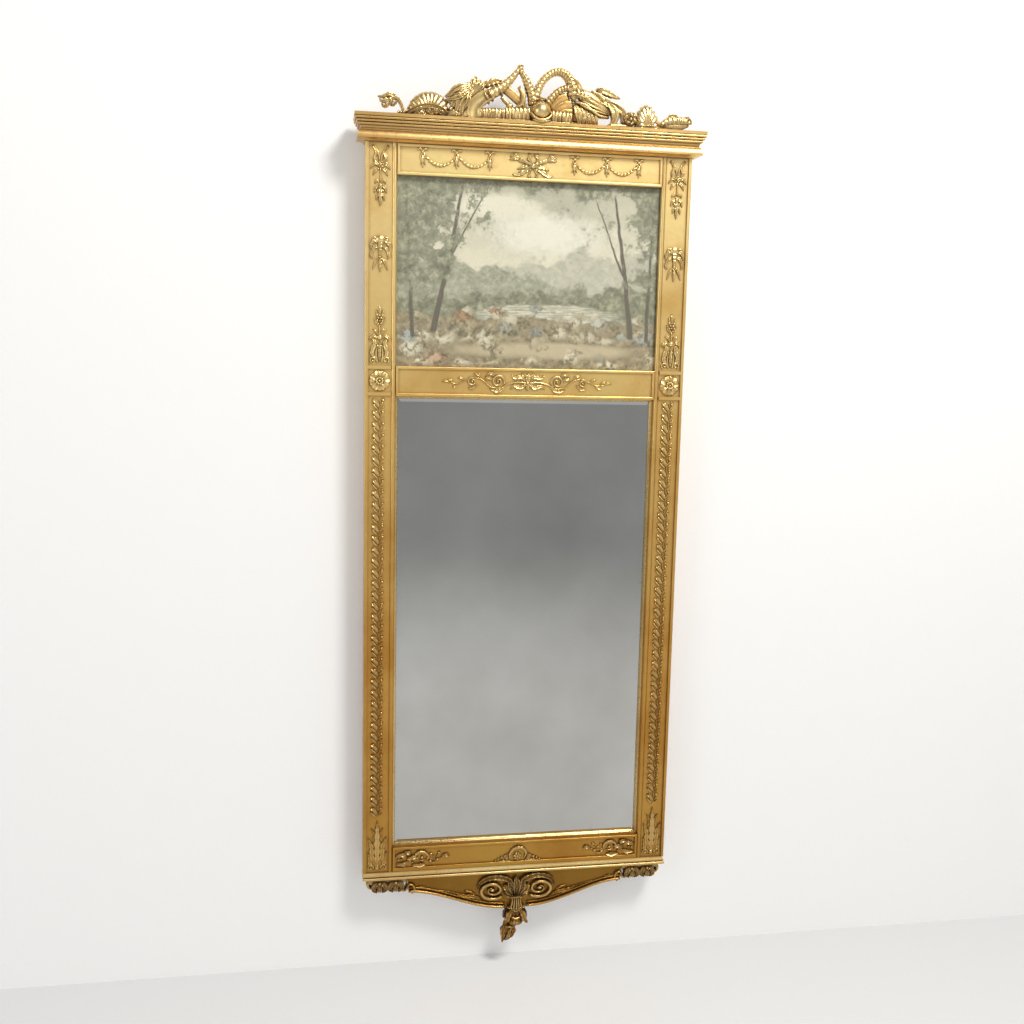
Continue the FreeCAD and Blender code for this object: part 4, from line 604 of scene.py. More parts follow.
def carve_rosette(side, name):
    """Two rows of petals round a beaded boss, on the stile's upper block."""
    work = Carving(f"carved_rosette_{name}", "gilt", f"rosette_{name}", x=side * STILE_X)
    for number in range(8):
        turn = math.radians(45 * number + 12)
        across, up = math.cos(turn), math.sin(turn)
        work.form([(across * 4, up * 4), (across * 11, up * 11, 1.0), (across * 19, up * 19, 0.2)],
                  (2.4, 5.2, 6.8, 3.6), (4.0, 4.6, 4.2, 2.4), CUPPED)
        turn += math.radians(22.5)
        across, up = math.cos(turn), math.sin(turn)
        work.form([(across * 8, up * 8), (across * 18.5, up * 18.5)], (2.0, 3.2, 1.6), (2.4, 2.8, 1.6))
    for number in range(10):
        turn = 2 * math.pi * number / 10
        work.berry(5.6 * math.cos(turn), 5.6 * math.sin(turn), 2.5, 2.6, lift=4.2, around=8)
    work.berry(0, 0, 6.8, 5.0)
    work.berry(0, 0, 2.6, 2.6, lift=4.2, around=10)
    work.finish()


def carve_vine(side, name):
    """A waved stem with paired slanting leaves on its left and buds on short stalks on its right."""
    work = Carving(f"carved_vine_{name}", "gilt", f"vine_{name}", x=side * STILE_X)
    draw = random.Random(11 + side)
    pitch, top, count = 21.0, -40.0, 38
    stem = []
    for number in range(2 * count):
        stem.append((2.4 if number % 2 else 0.2, top + 6 - pitch / 2 * number))
    work.stem(stem, 2.2, 2.2, 1.9, count=8 * count)
    for number in range(count):
        z = top - pitch * number
        sway = draw.uniform(-0.8, 0.8)
        work.form([(-12.6, z + 6.5 + sway), (-8.4, z + 3.6, 0.9), (-3.4, z - 2.6, 0.9), (0.6, z - 9.0)],
                  (1.4, 3.1, 3.2, 1.4), (2.6, 4.0, 3.8, 2.2), CUPPED)
        work.form([(-12.8, z - 1.5 + sway), (-9.4, z - 4.6, 0.5), (-5.2, z - 9.4, 0.5), (-1.8, z - 13.0)],
                  (1.0, 2.1, 2.1, 1.0), (2.2, 3.2, 3.0, 1.8))
        work.form([(1.4, z - 8.0), (4.6, z - 2.6), (6.6, z + 1.6)], (0.9, 1.1, 0.9), (1.8, 2.4, 2.4))
        work.berry(6.8, z + 4.6 + sway * 0.5, 3.0, 3.8, around=10)
        work.form([(3.4, z + 5.5), (6.0, z + 9.0), (9.8, z + 6.6)], (0.8, 1.3, 0.7), (1.8, 2.6, 1.6))
        work.form([(2.6, z - 9.0), (6.2, z - 8.2), (9.0, z - 4.6 + sway)], (0.9, 1.6, 0.7), (1.8, 2.6, 1.6))
    work.finish()


def carve_foot(side, name):
    """Acanthus that stands at the stile's foot, with small curls at its root."""
    work = Carving(f"carved_foot_{name}", "gilt", f"foot_acanthus_{name}", x=side * STILE_X, z=-940.0)
    for work.flip in BOTH:
        work.leaf([(3, 8), (9, 30), (11, 52), (17.5, 70, 1.0)], 11, 3.6, lobes=5)
        work.leaf([(5, 4), (13, 16), (14, 30), (18.6, 40, 1.0)], 9, 3.4, lobes=4)
        work.leaf([(2, 30), (5, 55), (6, 76), (11.5, 88, 0.8)], 8, 3.2, lobes=5)
        work.form(spiral(12.5, 8.5, 6.5, -1.2, 200), (2.0, 1.6, 0.9), (3.2, 3.6, 2.6))
        work.berry(12.5, 8.5, 2.2, 4.2, around=8)
    work.leaf([(0, 4), (0, 38, 0.8), (0, 76, 1.2), (0, 103, 0.2)], 13, 4.0, lobes=7)
    work.berry(0, 8, 5.0, 4.6)
    work.finish()


def carve_ribbon_drop(side, name):
    """Ribbon streamers that rise from a flower, with a trophy of leaves and fruit below."""
    work = Carving(f"carved_ribbon_drop_{name}", "gilt", f"ribbon_drop_{name}", x=side * STILE_X, z=380.0)
    for work.flip in BOTH:
        work.form([(3, 0), (10, 10, 0.6), (7, 22), (14, 33)], (1.6, 3.0, 2.6, 2.0), (2.6, 3.4, 2.6, 2.2), CUPPED)
        work.form([(1, 4), (3.5, 18), (9, 28)], (1.2, 2.0, 0.8), (2.2, 2.6, 1.8))
        work.leaf([(3, -2), (10, 1), (17.5, -9)], 7, 3.6, lobes=3)
        work.leaf([(2, -6), (9, -11), (13, -20)], 6, 3.4, lobes=3)
        work.leaf([(2, -38), (8, -40), (11, -50)], 6, 3.4, lobes=3)
        work.leaf([(2, -30), (7, -28), (9.5, -34)], 5, 3.0)
        work.leaf([(1.5, -48), (5.5, -54), (7.5, -63)], 5, 3.2, lobes=3)
        work.berry(4.2, -45, 3.0, 4.0, around=10)
    for number in range(6):
        turn = math.radians(60 * number + 30)
        work.leaf([(0, 0), (7.5 * math.cos(turn), 7.5 * math.sin(turn))], 6, 3.6, profile=CUPPED, tip=0.4)
    work.berry(0, 0, 3.2, 5.2, around=10)
    work.stem([(0, -6), (0, -30)], 2.6, 2.6, 3.0)
    work.leaf([(0, -36), (0, -54, 0.5), (0, -72)], 8, 4.6, lobes=5)
    work.berry(0, -36, 3.6, 4.8, around=10)
    work.finish()


def carve_torch(side, name):
    """A ribbed torch that burns in leaves, over a hanging leaf."""
    work = Carving(f"carved_torch_{name}", "gilt", f"torch_{name}", x=side * STILE_X, z=226.0)
    work.berry(0, 25, 7.0, 5.0, wide=1.25)
    for work.flip in BOTH:
        work.leaf([(3, 18), (10, 22, 0.6), (16.5, 14), (15.5, 5)], 7.5, 4.0, lobes=4)
        work.leaf([(3, 10), (10, 10), (16, -4), (12.5, -10)], 7, 3.8, lobes=4)
        work.leaf([(2, -6), (8, -14), (13.5, -30)], 5.5, 3.4, lobes=3)
        work.form(spiral(11, 24, 4.5, -0.9, 180), (1.6, 1.4, 0.8), (3.0, 3.4, 2.4))
    work.form([(0, 20), (0, 8, 0.6), (0, -6)], (5.0, 3.4, 2.2), (4.4, 4.6, 4.0), RIDGED, ribs=4)
    work.berry(0, -6, 3.2, 4.8, around=10)
    work.leaf([(0, -8), (0, -20), (0, -33)], 6, 3.8, lobes=4)
    work.finish()


def carve_lyre(side, name):
    """Lyre-shaped leaves round a stem of berries."""
    work = Carving(f"carved_lyre_{name}", "gilt", f"lyre_{name}", x=side * STILE_X, z=30.0)
    for work.flip in BOTH:
        work.leaf([(5, 6), (13.5, 20, 0.8), (9, 38), (15.5, 51)], 9.5, 4.2, lobes=5)
        work.form([(4, 3), (6, 18), (3.5, 36)], (2.2, 2.4, 1.0), (3.0, 3.2, 2.4))
        work.form(spiral(11.5, 7.5, 6.0, 1.25, -60), (2.2, 1.7, 0.9), (3.0, 3.6, 2.8))
        work.leaf([(1, 44), (9, 50), (16.5, 46), (15.0, 40)], 6.5, 3.8, lobes=4)
        work.leaf([(1, 50), (7, 60), (13, 62)], 5.5, 3.6, lobes=3)
        work.leaf([(1, 68), (6, 74), (10, 84)], 5.5, 3.6, lobes=3)
        work.leaf([(1, 80), (4, 88), (6.5, 97)], 4.5, 3.4)
    work.leaf([(0, 4), (0, 24, 0.4), (0, 42)], 7, 4.0, lobes=5)
    work.berry(0, 48, 5.4, 5.0)
    work.stem([(0, 50), (0, 70)], 3.4, 2.8, 3.2)
    for row in range(4):
        for spot in range(2 + row % 2):
            work.berry((spot - (1 + row % 2) / 2) * 4.6, 72 + 5 * row, 2.7, 4.4, around=8)
    work.leaf([(0, 86), (0, 95), (0, 104)], 6, 3.6)
    work.finish()


def carve_swag(flip, name):
    """Two festoons of husks between tied drops."""
    work = Carving(f"carved_swag_{name}", "gilt", f"swag_{name}", z=405.0, flip=flip)
    span, start, husks = 60.5, 78.0, 10
    for number in range(2):
        x = start + span * number
        for husk in range(husks):
            share = (husk + 0.5) / husks
            after = min(share + 0.75 / husks, 1.0)
            low, next_low = (-22.0 * (1 - (2 * part - 1) ** 2) ** 0.8 for part in (share, after))
            swell = 1.0 + 1.4 * (1 - abs(2 * share - 1))
            work.form([(x + span * share - 3.0, low), (x + span * after, next_low)],
                      (0.7 * swell, 1.25 * swell, 0.8 * swell), (1.1 * swell, 1.9 * swell, 1.2 * swell))
    for number in range(3):
        x = start + span * number
        work.berry(x, 1, 3.4, 4.0, around=10)
        for way in BOTH:
            work.form([(x, 1), (x + way * 5.0, 6.0), (x + way * 9.0, 2.6)], (1.2, 2.2, 1.0), (2.4, 3.4, 2.0))
            work.form([(x + way, 0), (x + way * 3.8, -8), (x + way * 1.8, -15), (x + way * 4.6, -22)],
                      (0.9, 1.6, 1.5, 0.8), (2.0, 2.6, 2.3, 1.6))
        work.form([(x, -4), (x, -14), (x, -27)], (1.2, 2.6, 0.8), (2.4, 3.8, 1.8), lobes=4, cut=0.25)
    work.finish()


def carve_emblem():
    """Crossed torches and a quiver, tied with a ribbon."""
    work = Carving("carved_emblem", "gilt", "frieze_emblem", x=1.0, z=390.5)
    for work.flip in BOTH:
        work.form([(-26, -12), (-6, -2, 1.4), (14, 6, 1.4), (26, 10.5)], (1.4, 2.2, 2.8, 3.6), (2.6, 3.6, 4.0, 3.6),
                  RIDGED, ribs=7)
        for rise, reach in ((15.5, 43), (9.5, 44), (20.0, 36)):
            work.leaf([(25, 10), (34, (rise + 11) / 2 + 2, 0.8), (reach, rise)], 7.5, 3.8, lobes=3)
        work.leaf([(2, -3), (14, -9), (27, -17), (38, -16)], 8, 3.6, lobes=5)
        work.leaf([(3, -1), (16, -2), (30, -7)], 7, 3.4, lobes=4)
        work.form([(1, 2), (9, 13, 1.0), (3, 20), (10, 22)], (1.3, 2.2, 2.0, 1.0), (2.6, 3.0, 2.4, 1.8), CUPPED)
        work.form([(1, -3), (8, -16), (4, -20), (10, -21.5)], (1.2, 1.9, 1.6, 0.8), (2.2, 2.6, 2.0, 1.4), CUPPED)
    work.berry(0, 0, 5.4, 5.6)
    work.finish()


def carve_arabesque():
    """Scrolls and leaves that run out to both sides of the middle rail."""
    work = Carving("carved_arabesque", "gilt", "middle_arabesque", z=0.4)
    for work.flip in BOTH:
        work.leaf([(2, 1), (12, 10, 0.6), (24, 9), (31, 15)], 9, 4.4, lobes=5)
        work.leaf([(2, -1), (13, -9, 0.6), (25, -6), (33, -12)], 9, 4.2, lobes=5)
        work.leaf([(1, 4), (6, 13), (12, 18.5)], 6, 3.8, lobes=3)
        work.stem([(0, 0), (20, 1), (38, -3), (50, -10)], 3.6, 3.0, 3.4)
        work.form(spiral(56, 2, 12.5, -1.5, 200), (1.9, 2.1, 1.6, 1.0), (3.4, 3.8, 3.2, 2.4))
        work.berry(56, 2, 3.0, 4.8, around=10)
        work.leaf([(44, -8), (56, -16, 0.5), (72, -12)], 7, 3.8, lobes=4)
        work.leaf([(62, 12), (70, 16), (80, 10.5)], 7, 4.0, lobes=4)
        work.leaf([(66, 4), (74, 8), (84, 3)], 7, 4.0, lobes=4)
        work.stem([(48, -10), (68, -9), (86, 5), (102, 9)], 2.8, 2.2, 3.2)
        work.form(spiral(104, 1, 8.6, -1.35, 95), (1.5, 1.6, 1.2, 0.8), (3.0, 3.4, 2.8, 2.2))
        work.berry(104, 1, 2.2, 4.0, around=8)
        work.leaf([(86, 4), (92, 13), (102, 15)], 5.5, 3.4, lobes=3)
        work.leaf([(92, -2), (102, -11), (112, -10)], 5.5, 3.4, lobes=3)
        work.stem([(100, 8.5), (116, 3), (132, -3.5), (150, 0)], 2.4, 1.6, 2.6)
        for x, z, tilt in ((118, 2, 1), (128, -3, -1), (138, -2, 1)):
            work.leaf([(x, z), (x + 7, z + tilt * 5.5), (x + 13, z + tilt * 4.5)], 4.6, 3.0, lobes=2)
        work.leaf([(146, -1), (153, 2), (160.5, 0)], 5, 3.0, lobes=3)
    work.leaf([(0, -2), (0, 8, 0.6), (0, 19)], 10, 5.0, lobes=5)
    work.leaf([(0, 2), (0, -7, 0.4), (0, -15)], 8, 4.4, lobes=4)
    work.berry(0, 0, 4.0, 5.8)
    work.finish()


def carve_spray(flip, name):
    """From its tip: a leaf, berries on twigs, a curled tendril and three fat leaves towards the stile."""
    work = Carving(f"carved_spray_{name}", "gilt", f"spray_{name}", x=flip * 133.0, z=-918.0, flip=flip)
    work.form([(0, 2), (7, 4.5, 0.8), (17, 1.5)], (1.0, 3.6, 1.4), (2.0, 4.4, 2.6), CUPPED)
    work.stem([(14, 1), (30, -3), (44, -2), (56, -8)], 1.8, 2.4, 2.4)
    for x, z, radius in ((21, 10.0, 2.9), (24, -3.6, 3.2), (37, 8.6, 2.6), (38, -6.4, 3.6), (31, 3.4, 2.2)):
        work.berry(x, z, radius, radius + 1.4, around=10, wide=1.15)
    work.stem([(28, 1), (24, 6), (21, 10)], 1.4, 1.4, 2.0)
    work.form([(26, -6), (33, -10), (40, -9)], (1.0, 2.2, 1.0), (2.0, 3.2, 2.0))
    work.form([(44, -3), (42, 5), (48, 12), (58, 14), (66, 9), (68, 1), (64, -4)],
              (1.4, 2.6, 3.4, 3.6, 3.2, 2.4, 1.2), (3.0, 4.6, 5.6, 5.8, 5.4, 4.4, 3.0), lobes=7, cut=0.22)
    work.berry(54, 2, 3.6, 4.4, around=12)
    work.form([(49, -2), (54, -4), (60, -2)], (0.9, 1.6, 0.9), (2.0, 3.4, 2.0))
    for points in ([(48, -12), (58, -13.5, 1.0), (74, -12.0)], [(62, 3), (72, 3.5, 1.0), (84, -1)],
                   [(82, 5), (92, 9.5, 1.0), (106, 6.5)], [(80, -5), (90, -9.5, 1.0), (104, -9)],
                   [(74, 9), (80, 13.5, 0.8), (90, 14)]):
        work.form(points, (1.4, 3.9, 3.7, 1.4), (2.8, 5.0, 4.8, 2.4), CUPPED, lobes=3, cut=0.16)
    for x, z in ((78, 1), (94, 0), (100, -1), (88, -15), (72, -7)):
        work.berry(x, z, 2.6, 3.8, around=8)
    work.finish()


def carve_palmette():
    """A small flower under a curled arch, with berries that run down to each side."""
    work = Carving("carved_palmette", "gilt", "bottom_palmette", x=1.0, z=-936.5)
    work.form([(-15, 6), (-15.5, 17), (-8, 27), (2, 30.5), (12, 27), (17, 18), (14, 8)],
              (1.6, 3.0, 3.6, 3.8, 3.6, 3.0, 1.6), (3.4, 4.6, 5.6, 5.8, 5.6, 4.6, 3.4), lobes=9, cut=0.2)
    for number in range(7):
        turn = 2 * math.pi * number / 7 + 0.3
        across, up = math.cos(turn), math.sin(turn)
        work.form([(across * 2.5, 12 + up * 2.5), (across * 8.6, 12 + up * 8.6)], (1.6, 2.9, 1.8), (3.4, 4.4, 2.8))
    work.berry(0, 12, 3.8, 5.6, around=12)
    for work.flip in BOTH:
        work.form([(17, 3), (21.5, 10, 0.8), (20, 19)], (1.4, 3.0, 1.2), (2.8, 4.6, 2.6), CUPPED)
        for x, z, radius in ((25, 13.0, 3.0), (31.5, 10.4, 3.2), (38, 7.4, 2.9), (44, 4.6, 2.4), (49.5, 2.4, 1.8)):
            work.berry(x, z, radius, radius + 1.6, around=10)
        work.form([(12, 1.6), (28, 3.6), (46, 0.8)], (1.8, 2.4, 1.0), (3.0, 3.4, 2.0), lobes=5, cut=0.25)
    work.finish()


def bezier(start, first, second, end):
    """Places along a cubic curve with two handles."""
    share = np.linspace(0, 1, 24)[:, None]
    start, first, second, end = (np.array(spot, float) for spot in (start, first, second, end))
    rest = 1 - share
    return rest**3 * start + 3 * rest**2 * share * first + 3 * rest * share**2 * second + share**3 * end


def carve_apron_scroll(flip, name):
    """Double bead along the ogee, the oval volute with a leafy back, and a tendril between them."""
    work = Carving(f"carved_apron_scroll_{name}", "gilt_dark", f"apron_scroll_{name}", seat=APRON, flip=flip)
    for inset, half, rise in ((3.6, 3.2, 6.4), (10.2, 1.8, 3.6)):
        line = bezier((211.5, -988 + inset), (151, -988 + inset), (90, -1032 + inset), (22, -1032 + inset))
        work.form(line, (half, half), (rise, rise), count=40)
    curl = spiral(47.0, -992.5, 19.5, 1.6, 225, end_share=0.2, count=22)
    curl[:, 0] = 47.0 + (curl[:, 0] - 47.0) * 1.42
    work.form(curl, (3.4, 4.0, 3.4, 2.4, 1.8), (7.0, 8.4, 8.6, 7.0, 5.6), count=44)
    work.berry(47.5, -992.5, 4.6, 8.0, wide=1.35)
    work.form([(7, -992), (12, -975), (26, -967.5), (44, -965), (60, -968), (72, -976), (77, -988)],
              (3.4, 4.4, 4.8, 4.6, 4.2, 3.2, 1.4), (9.0, 11.0, 11.0, 10.5, 9.5, 7.5, 4.0), CUPPED, lobes=9, cut=0.3,
              count=54)
    work.leaf([(70, -1009), (86, -1003.5), (104, -1001), (122, -993)], 10, 5.6, lobes=5)
    work.form([(80, -1001), (90, -995), (103, -992)], (1.4, 3.2, 1.4), (2.4, 4.0, 2.0), lobes=3, cut=0.25)
    work.stem([(66, -1013), (96, -1004), (132, -991), (166, -985)], 3.0, 1.4, 3.4)
    work.form([(206, -989), (201, -982), (203, -973), (210, -970), (214, -975), (210, -980)],
              (2.0, 2.6, 2.8, 2.6, 2.2, 1.4), (5.0, 6.0, 6.4, 6.0, 5.0, 3.6))
    work.leaf([(201, -984), (190, -978), (176, -980)], 6, 3.6, lobes=3)
    work.finish()


def carve_fan():
    """Acanthus fan that rises from a fluted collar between the volutes."""
    work = Carving("carved_apron_acanthus", "gilt_dark", "apron_acanthus", seat=APRON)
    for turn, tall, wide, rise in ((-70, 29, 6.0, 8.0), (70, 29, 6.0, 8.0), (-48, 38, 7.4, 10.5), (48, 38, 7.4, 10.5),
                                   (-24, 41, 8.0, 13.0), (24, 41, 8.0, 13.0), (0, 43, 7.6, 16.0)):
        lean = math.radians(turn)
        across, rise_here = math.sin(lean), math.cos(lean)
        work.form([(across * 2, -1008 + rise_here * 2), (across * tall * 0.5, -1008 + rise_here * tall * 0.55, 1.8),
                   (across * tall * 0.9, -1008 + rise_here * tall * 0.98)],
                  (wide * 0.3, wide * 0.7, wide, wide * 0.8, wide * 0.3),
                  (rise * 0.6, rise * 0.85, rise, rise * 0.95, rise * 0.5), CUPPED, lobes=3, cut=0.16, count=24)
    for number in range(5):
        x = -9 + 4.5 * number
        bulk = 2.0 * abs(number - 2)
        work.form([(x * 0.8, -1004), (x * 0.85, -1016, 0.8), (x * 1.2, -1031)], (2.2, 2.5, 3.2),
                  (13.0 - bulk, 15.0 - bulk, 15.5 - bulk))
    work.form([(-13, -1008), (0, -1006), (13, -1008)], (2.4, 3.2, 2.4), (12.0, 16.5, 12.0), ribs=7, rib=0.2)
    work.form([(-17, -1029), (0, -1030.5), (17, -1029)], (2.4, 3.0, 2.4), (10.5, 15.5, 10.5), ribs=7, rib=0.2)
    work.finish()


def carve_apron_end(flip, name):
    """Leafy lobes that shrink outwards under the stile, with a small scroll inside them."""
    work = Carving(f"carved_apron_end_{name}", "gilt_dark", f"apron_end_{name}", seat=APRON_END, flip=flip, full=True)
    work.form([(213, -961), (250, -961), (291, -961)], (4.2, 4.2, 4.2), (9.0, 9.0, 9.0), (0.9, 1.0, 1.0, 1.0, 0.9))
    for x, radius in ((237, 13.0), (268, 12.0)):
        work.berry(x, -973, radius, 9.5, wide=1.22, around=20)
        for way in BOTH:
            work.form([(x, -964), (x + way * 9, -968, 2.0), (x + way * 12, -978), (x + way * 4, -984)],
                      (2.4, 4.2, 4.0, 2.0), (6.5, 9.0, 8.0, 6.0), CUPPED, lift=3.5)
        work.form([(x, -966), (x, -976, 2.0), (x, -985)], (2.6, 4.4, 2.4), (7.0, 9.5, 6.0), CUPPED, lift=4.0)
        work.berry(x, -966, 4.0, 5.0, lift=8.5, around=12)
    work.form([(281, -962), (290, -966), (288, -975), (281, -977)], (3.0, 4.0, 3.6, 2.4), (8.5, 9.0, 8.0, 7.0))
    work.form([(215, -960), (214, -972), (217, -982), (223, -984), (226, -978), (222, -973)],
              (2.6, 2.8, 3.0, 2.8, 2.4, 1.6), (9.5, 10.0, 10.5, 10.0, 9.0, 8.0))
    work.finish()


def turned(work, rows, petals, depth, around=40):
    """A fluted form in the round, from rows of (x, z, radius)."""
    turn = np.linspace(0, 2 * math.pi, around, endpoint=False)
    rings = []
    for x, z, radius in smooth(rows, 4 * len(rows)):
        reach = max(radius, 0.3) * (1 - depth * (1 - np.abs(np.cos(petals * turn / 2)) ** 0.8))
        ring = np.empty((around, 3))
        ring[:, 0] = x + reach * np.cos(turn)
        ring[:, 1] = -(PENDANT_AXIS + reach * np.sin(turn))
        ring[:, 2] = z
        rings.append(ring)
    work.rings(rings)


def carve_pendant():
    """The hanging husk under the fan's collar, and the leaning bud below it."""
    work = Carving("carved_pendant_husk", "gilt_dark", "pendant_husk", seat=HUSK, full=True)
    turned(work, [(0, -1030, 15), (0, -1036, 14.5), (0, -1046, 16.5), (0, -1056, 17), (0, -1063, 20),
                  (0, -1067, 18)], 6, 0.2)
    for work.flip in BOTH:
        work.leaf([(4, -1032), (13, -1042, 1.0), (18, -1056, 1.0), (24.5, -1065, -1.0)], 12, 6.0, lobes=4, tip=0.25)
        work.leaf([(16, -1034), (20, -1046), (24, -1056)], 8, 7.0, lobes=3, lift=-10.0)
    work.form([(-9, -1049), (0, -1052, 2.0), (9, -1049)], (2.4, 3.0, 2.4), (6.0, 6.5, 6.0))
    work.leaf([(0, -1051), (-1, -1060, 2.0), (-2, -1070, 0.0)], 13, 6.0, lobes=3, tip=0.3)
    work.form([(-10, -1032), (0, -1036, 1.0), (10, -1032)], (2.0, 2.4, 2.0), (6.0, 7.0, 6.0))
    work.finish()
    work = Carving("carved_pendant_bud", "gilt_dark", "pendant_bud", seat=BUD, full=True)
    turned(work, [(-9, -1067, 9), (-11, -1074, 12.5), (-14, -1084, 13.5), (-18, -1094, 10), (-21, -1102, 5),
                  (-24, -1109, 1.2)], 5, 0.22, around=30)
    work.leaf([(-14, -1068), (-24, -1078), (-24, -1092), (-24.5, -1106)], 10, 7.0, lobes=4, tip=0.2)
    work.leaf([(-6, -1068), (-2, -1080), (-8, -1092), (-19, -1102)], 10, 7.0, lobes=4, tip=0.2)
    work.leaf([(-11, -1076, 5.0), (-14, -1088, 6.0), (-20, -1102, 0.0)], 8, 7.0, lobes=3, tip=0.2)
    work.form([(-20, -1072), (-11, -1070, 4.0), (-3, -1073)], (2.2, 2.6, 2.2), (7.0, 8.0, 7.0))
    work.finish()


def crest_piece(name, seat=CREST):
    """A carving of the crest: in the round, with heights given above the cornice's top."""
    return Carving(f"carved_{name}", "gilt_pale", name, z=CORNICE_TOP, seat=seat, full=True)


def scallop(work, root, tips, height):
    """A shell: ribs that widen from one root until they meet along its rim."""
    for number, (x, z) in enumerate(tips):
        near = tips[number - 1] if number else tips[1]
        half = math.dist((x, z), near) * 0.62
        middle = ((root[0] + x) / 2, (root[1] + z) / 2, 1.4)
        work.form([root, middle, (x, z)], (1.2, half * 0.6, half * 1.05, half * 0.75),
                  (height, height * 1.05, height, height * 0.6))


def fan_out(work, root, tips, width, height, lift=0.0, bow=0.12, **more):
    """Leaves from one root to several tips, each bowed a little."""
    for x, z in tips:
        across, rise = x - root[0], z - root[1]
        middle = (root[0] + across * 0.55 - rise * bow, root[1] + rise * 0.55 + across * bow, 1.2)
        work.leaf([root, middle, (x, z)], width, height, lift=lift, **more)


def carve_crest_bud_left():
    """The flower on a bent stalk at the crest's left end."""
    work = crest_piece("crest_bud_left")
    work.form([(-264, 26), (-254, 29), (-245, 27), (-239, 18), (-235, 7), (-234, 0)], (2.6, 3.8, 3.4, 3.0, 3.2, 4.0),
              (4, 5, 5, 5, 6, 6), RIDGED)
    work.leaf([(-250, 29), (-260, 33.5), (-271, 29), (-280, 29)], 8, 5.0, lobes=4, lift=1.5, tip=0.3)
    work.leaf([(-252, 25), (-262, 24), (-272, 21), (-277, 25)], 8, 5.5, lobes=3, lift=2.5, tip=0.3)
    work.leaf([(-252, 22), (-261, 17), (-269, 13), (-273, 18)], 7, 4.6, lobes=3, tip=0.3)
    work.leaf([(-246, 26), (-250, 18), (-258, 14)], 6, 4.6, lobes=2)
    work.leaf([(-256, 30), (-252, 33), (-246, 31)], 5, 4.0)
    work.berry(-258, 25.5, 4.2, 7.5)
    for number in range(5):
        x = -244 + 4.6 * number
        work.form([(x - 1.6, -0.5), (x, 4.0), (x + 2.2, 6.5 + number)], (1.9, 2.2, 1.5), (5.0, 6.0, 4.4))
    work.finish()


def carve_crest_leaves_left():
    """A fluted shell with leaves and berries, and the leaf cluster by the bow."""
    work = crest_piece("crest_leaves_left")
    shell = [(-229, 6), (-226, 17), (-220, 27), (-212, 34), (-203, 39), (-194, 41), (-185, 41.5), (-176, 39.5),
             (-167, 35), (-160, 27), (-157, 17)]
    scallop(work, (-191, 0), shell, 8.0)
    work.form([(-231, 1), (-218, 9), (-202, 15), (-184, 16.5), (-168, 12), (-157, 4)], (2.4, 3.6, 4.4, 4.4, 3.6, 2.2),
              (8.0, 10.0, 10.5, 10.5, 10.0, 8.0), CUPPED, lift=3.6)
    for x, z, turn in ((-214, 1, 1), (-203, 4, 1), (-191, 5, -1), (-179, 5, 1), (-168, 3, -1)):
        work.leaf([(x - 6, z + 4), (x, z + 3, 1.0), (x + 6, z - 3)], 11, 8.5, lobes=3, lift=3.0, tip=0.4)
        work.berry(x + 4 * turn, z + 4, 3.4, 8.5, lift=3.6, around=8)
    work.form([(-100, 58), (-120, 44), (-140, 30), (-152, 22)], (9.0, 14.0, 15.0, 8.0), (6.5, 7.5, 7.5, 5.0))
    fan_out(work, (-108, 56), [(-161, 35), (-159, 25), (-153, 14), (-144, 6), (-134, 3)], 13.5, 8.5, lift=1.0,
            bow=-0.12, lobes=4, cut=0.14, tip=0.35)
    fan_out(work, (-118, 48), [(-163, 29), (-150, 37), (-130, 14)], 9.5, 8.0, lift=3.4, bow=0.08, lobes=4, cut=0.2,
            tip=0.3)
    work.leaf([(-122, 44), (-131, 52), (-138, 59)], 11, 7.0, lobes=3, tip=0.3)
    fan_out(work, (-104, 46), [(-124, 61), (-115, 68), (-108, 73), (-99, 67), (-90, 62)], 12.5, 8.5, bow=0.08,
            lobes=3, cut=0.18, tip=0.35)
    work.leaf([(-102, 54), (-86, 62), (-71, 67), (-58, 66)], 14, 7.5, lobes=5, lift=-3.0, tip=0.35)
    work.form([(-160, 3), (-148, 7), (-134, 3)], (4.0, 5.4, 4.0), (8.5, 9.5, 8.0), RIDGED, lift=1.0)
    work.berry(-152, 14, 5.0, 10.0, lift=1.0)
    work.berry(-142, 4, 4.6, 10.0)
    work.form([(-110, 46), (-124, 32), (-130, 14), (-128, -0.5)], (9.0, 9.5, 8.0, 7.0), (8.5, 9.0, 8.5, 8.5), CUPPED,
              lift=-1.0)
    work.finish()


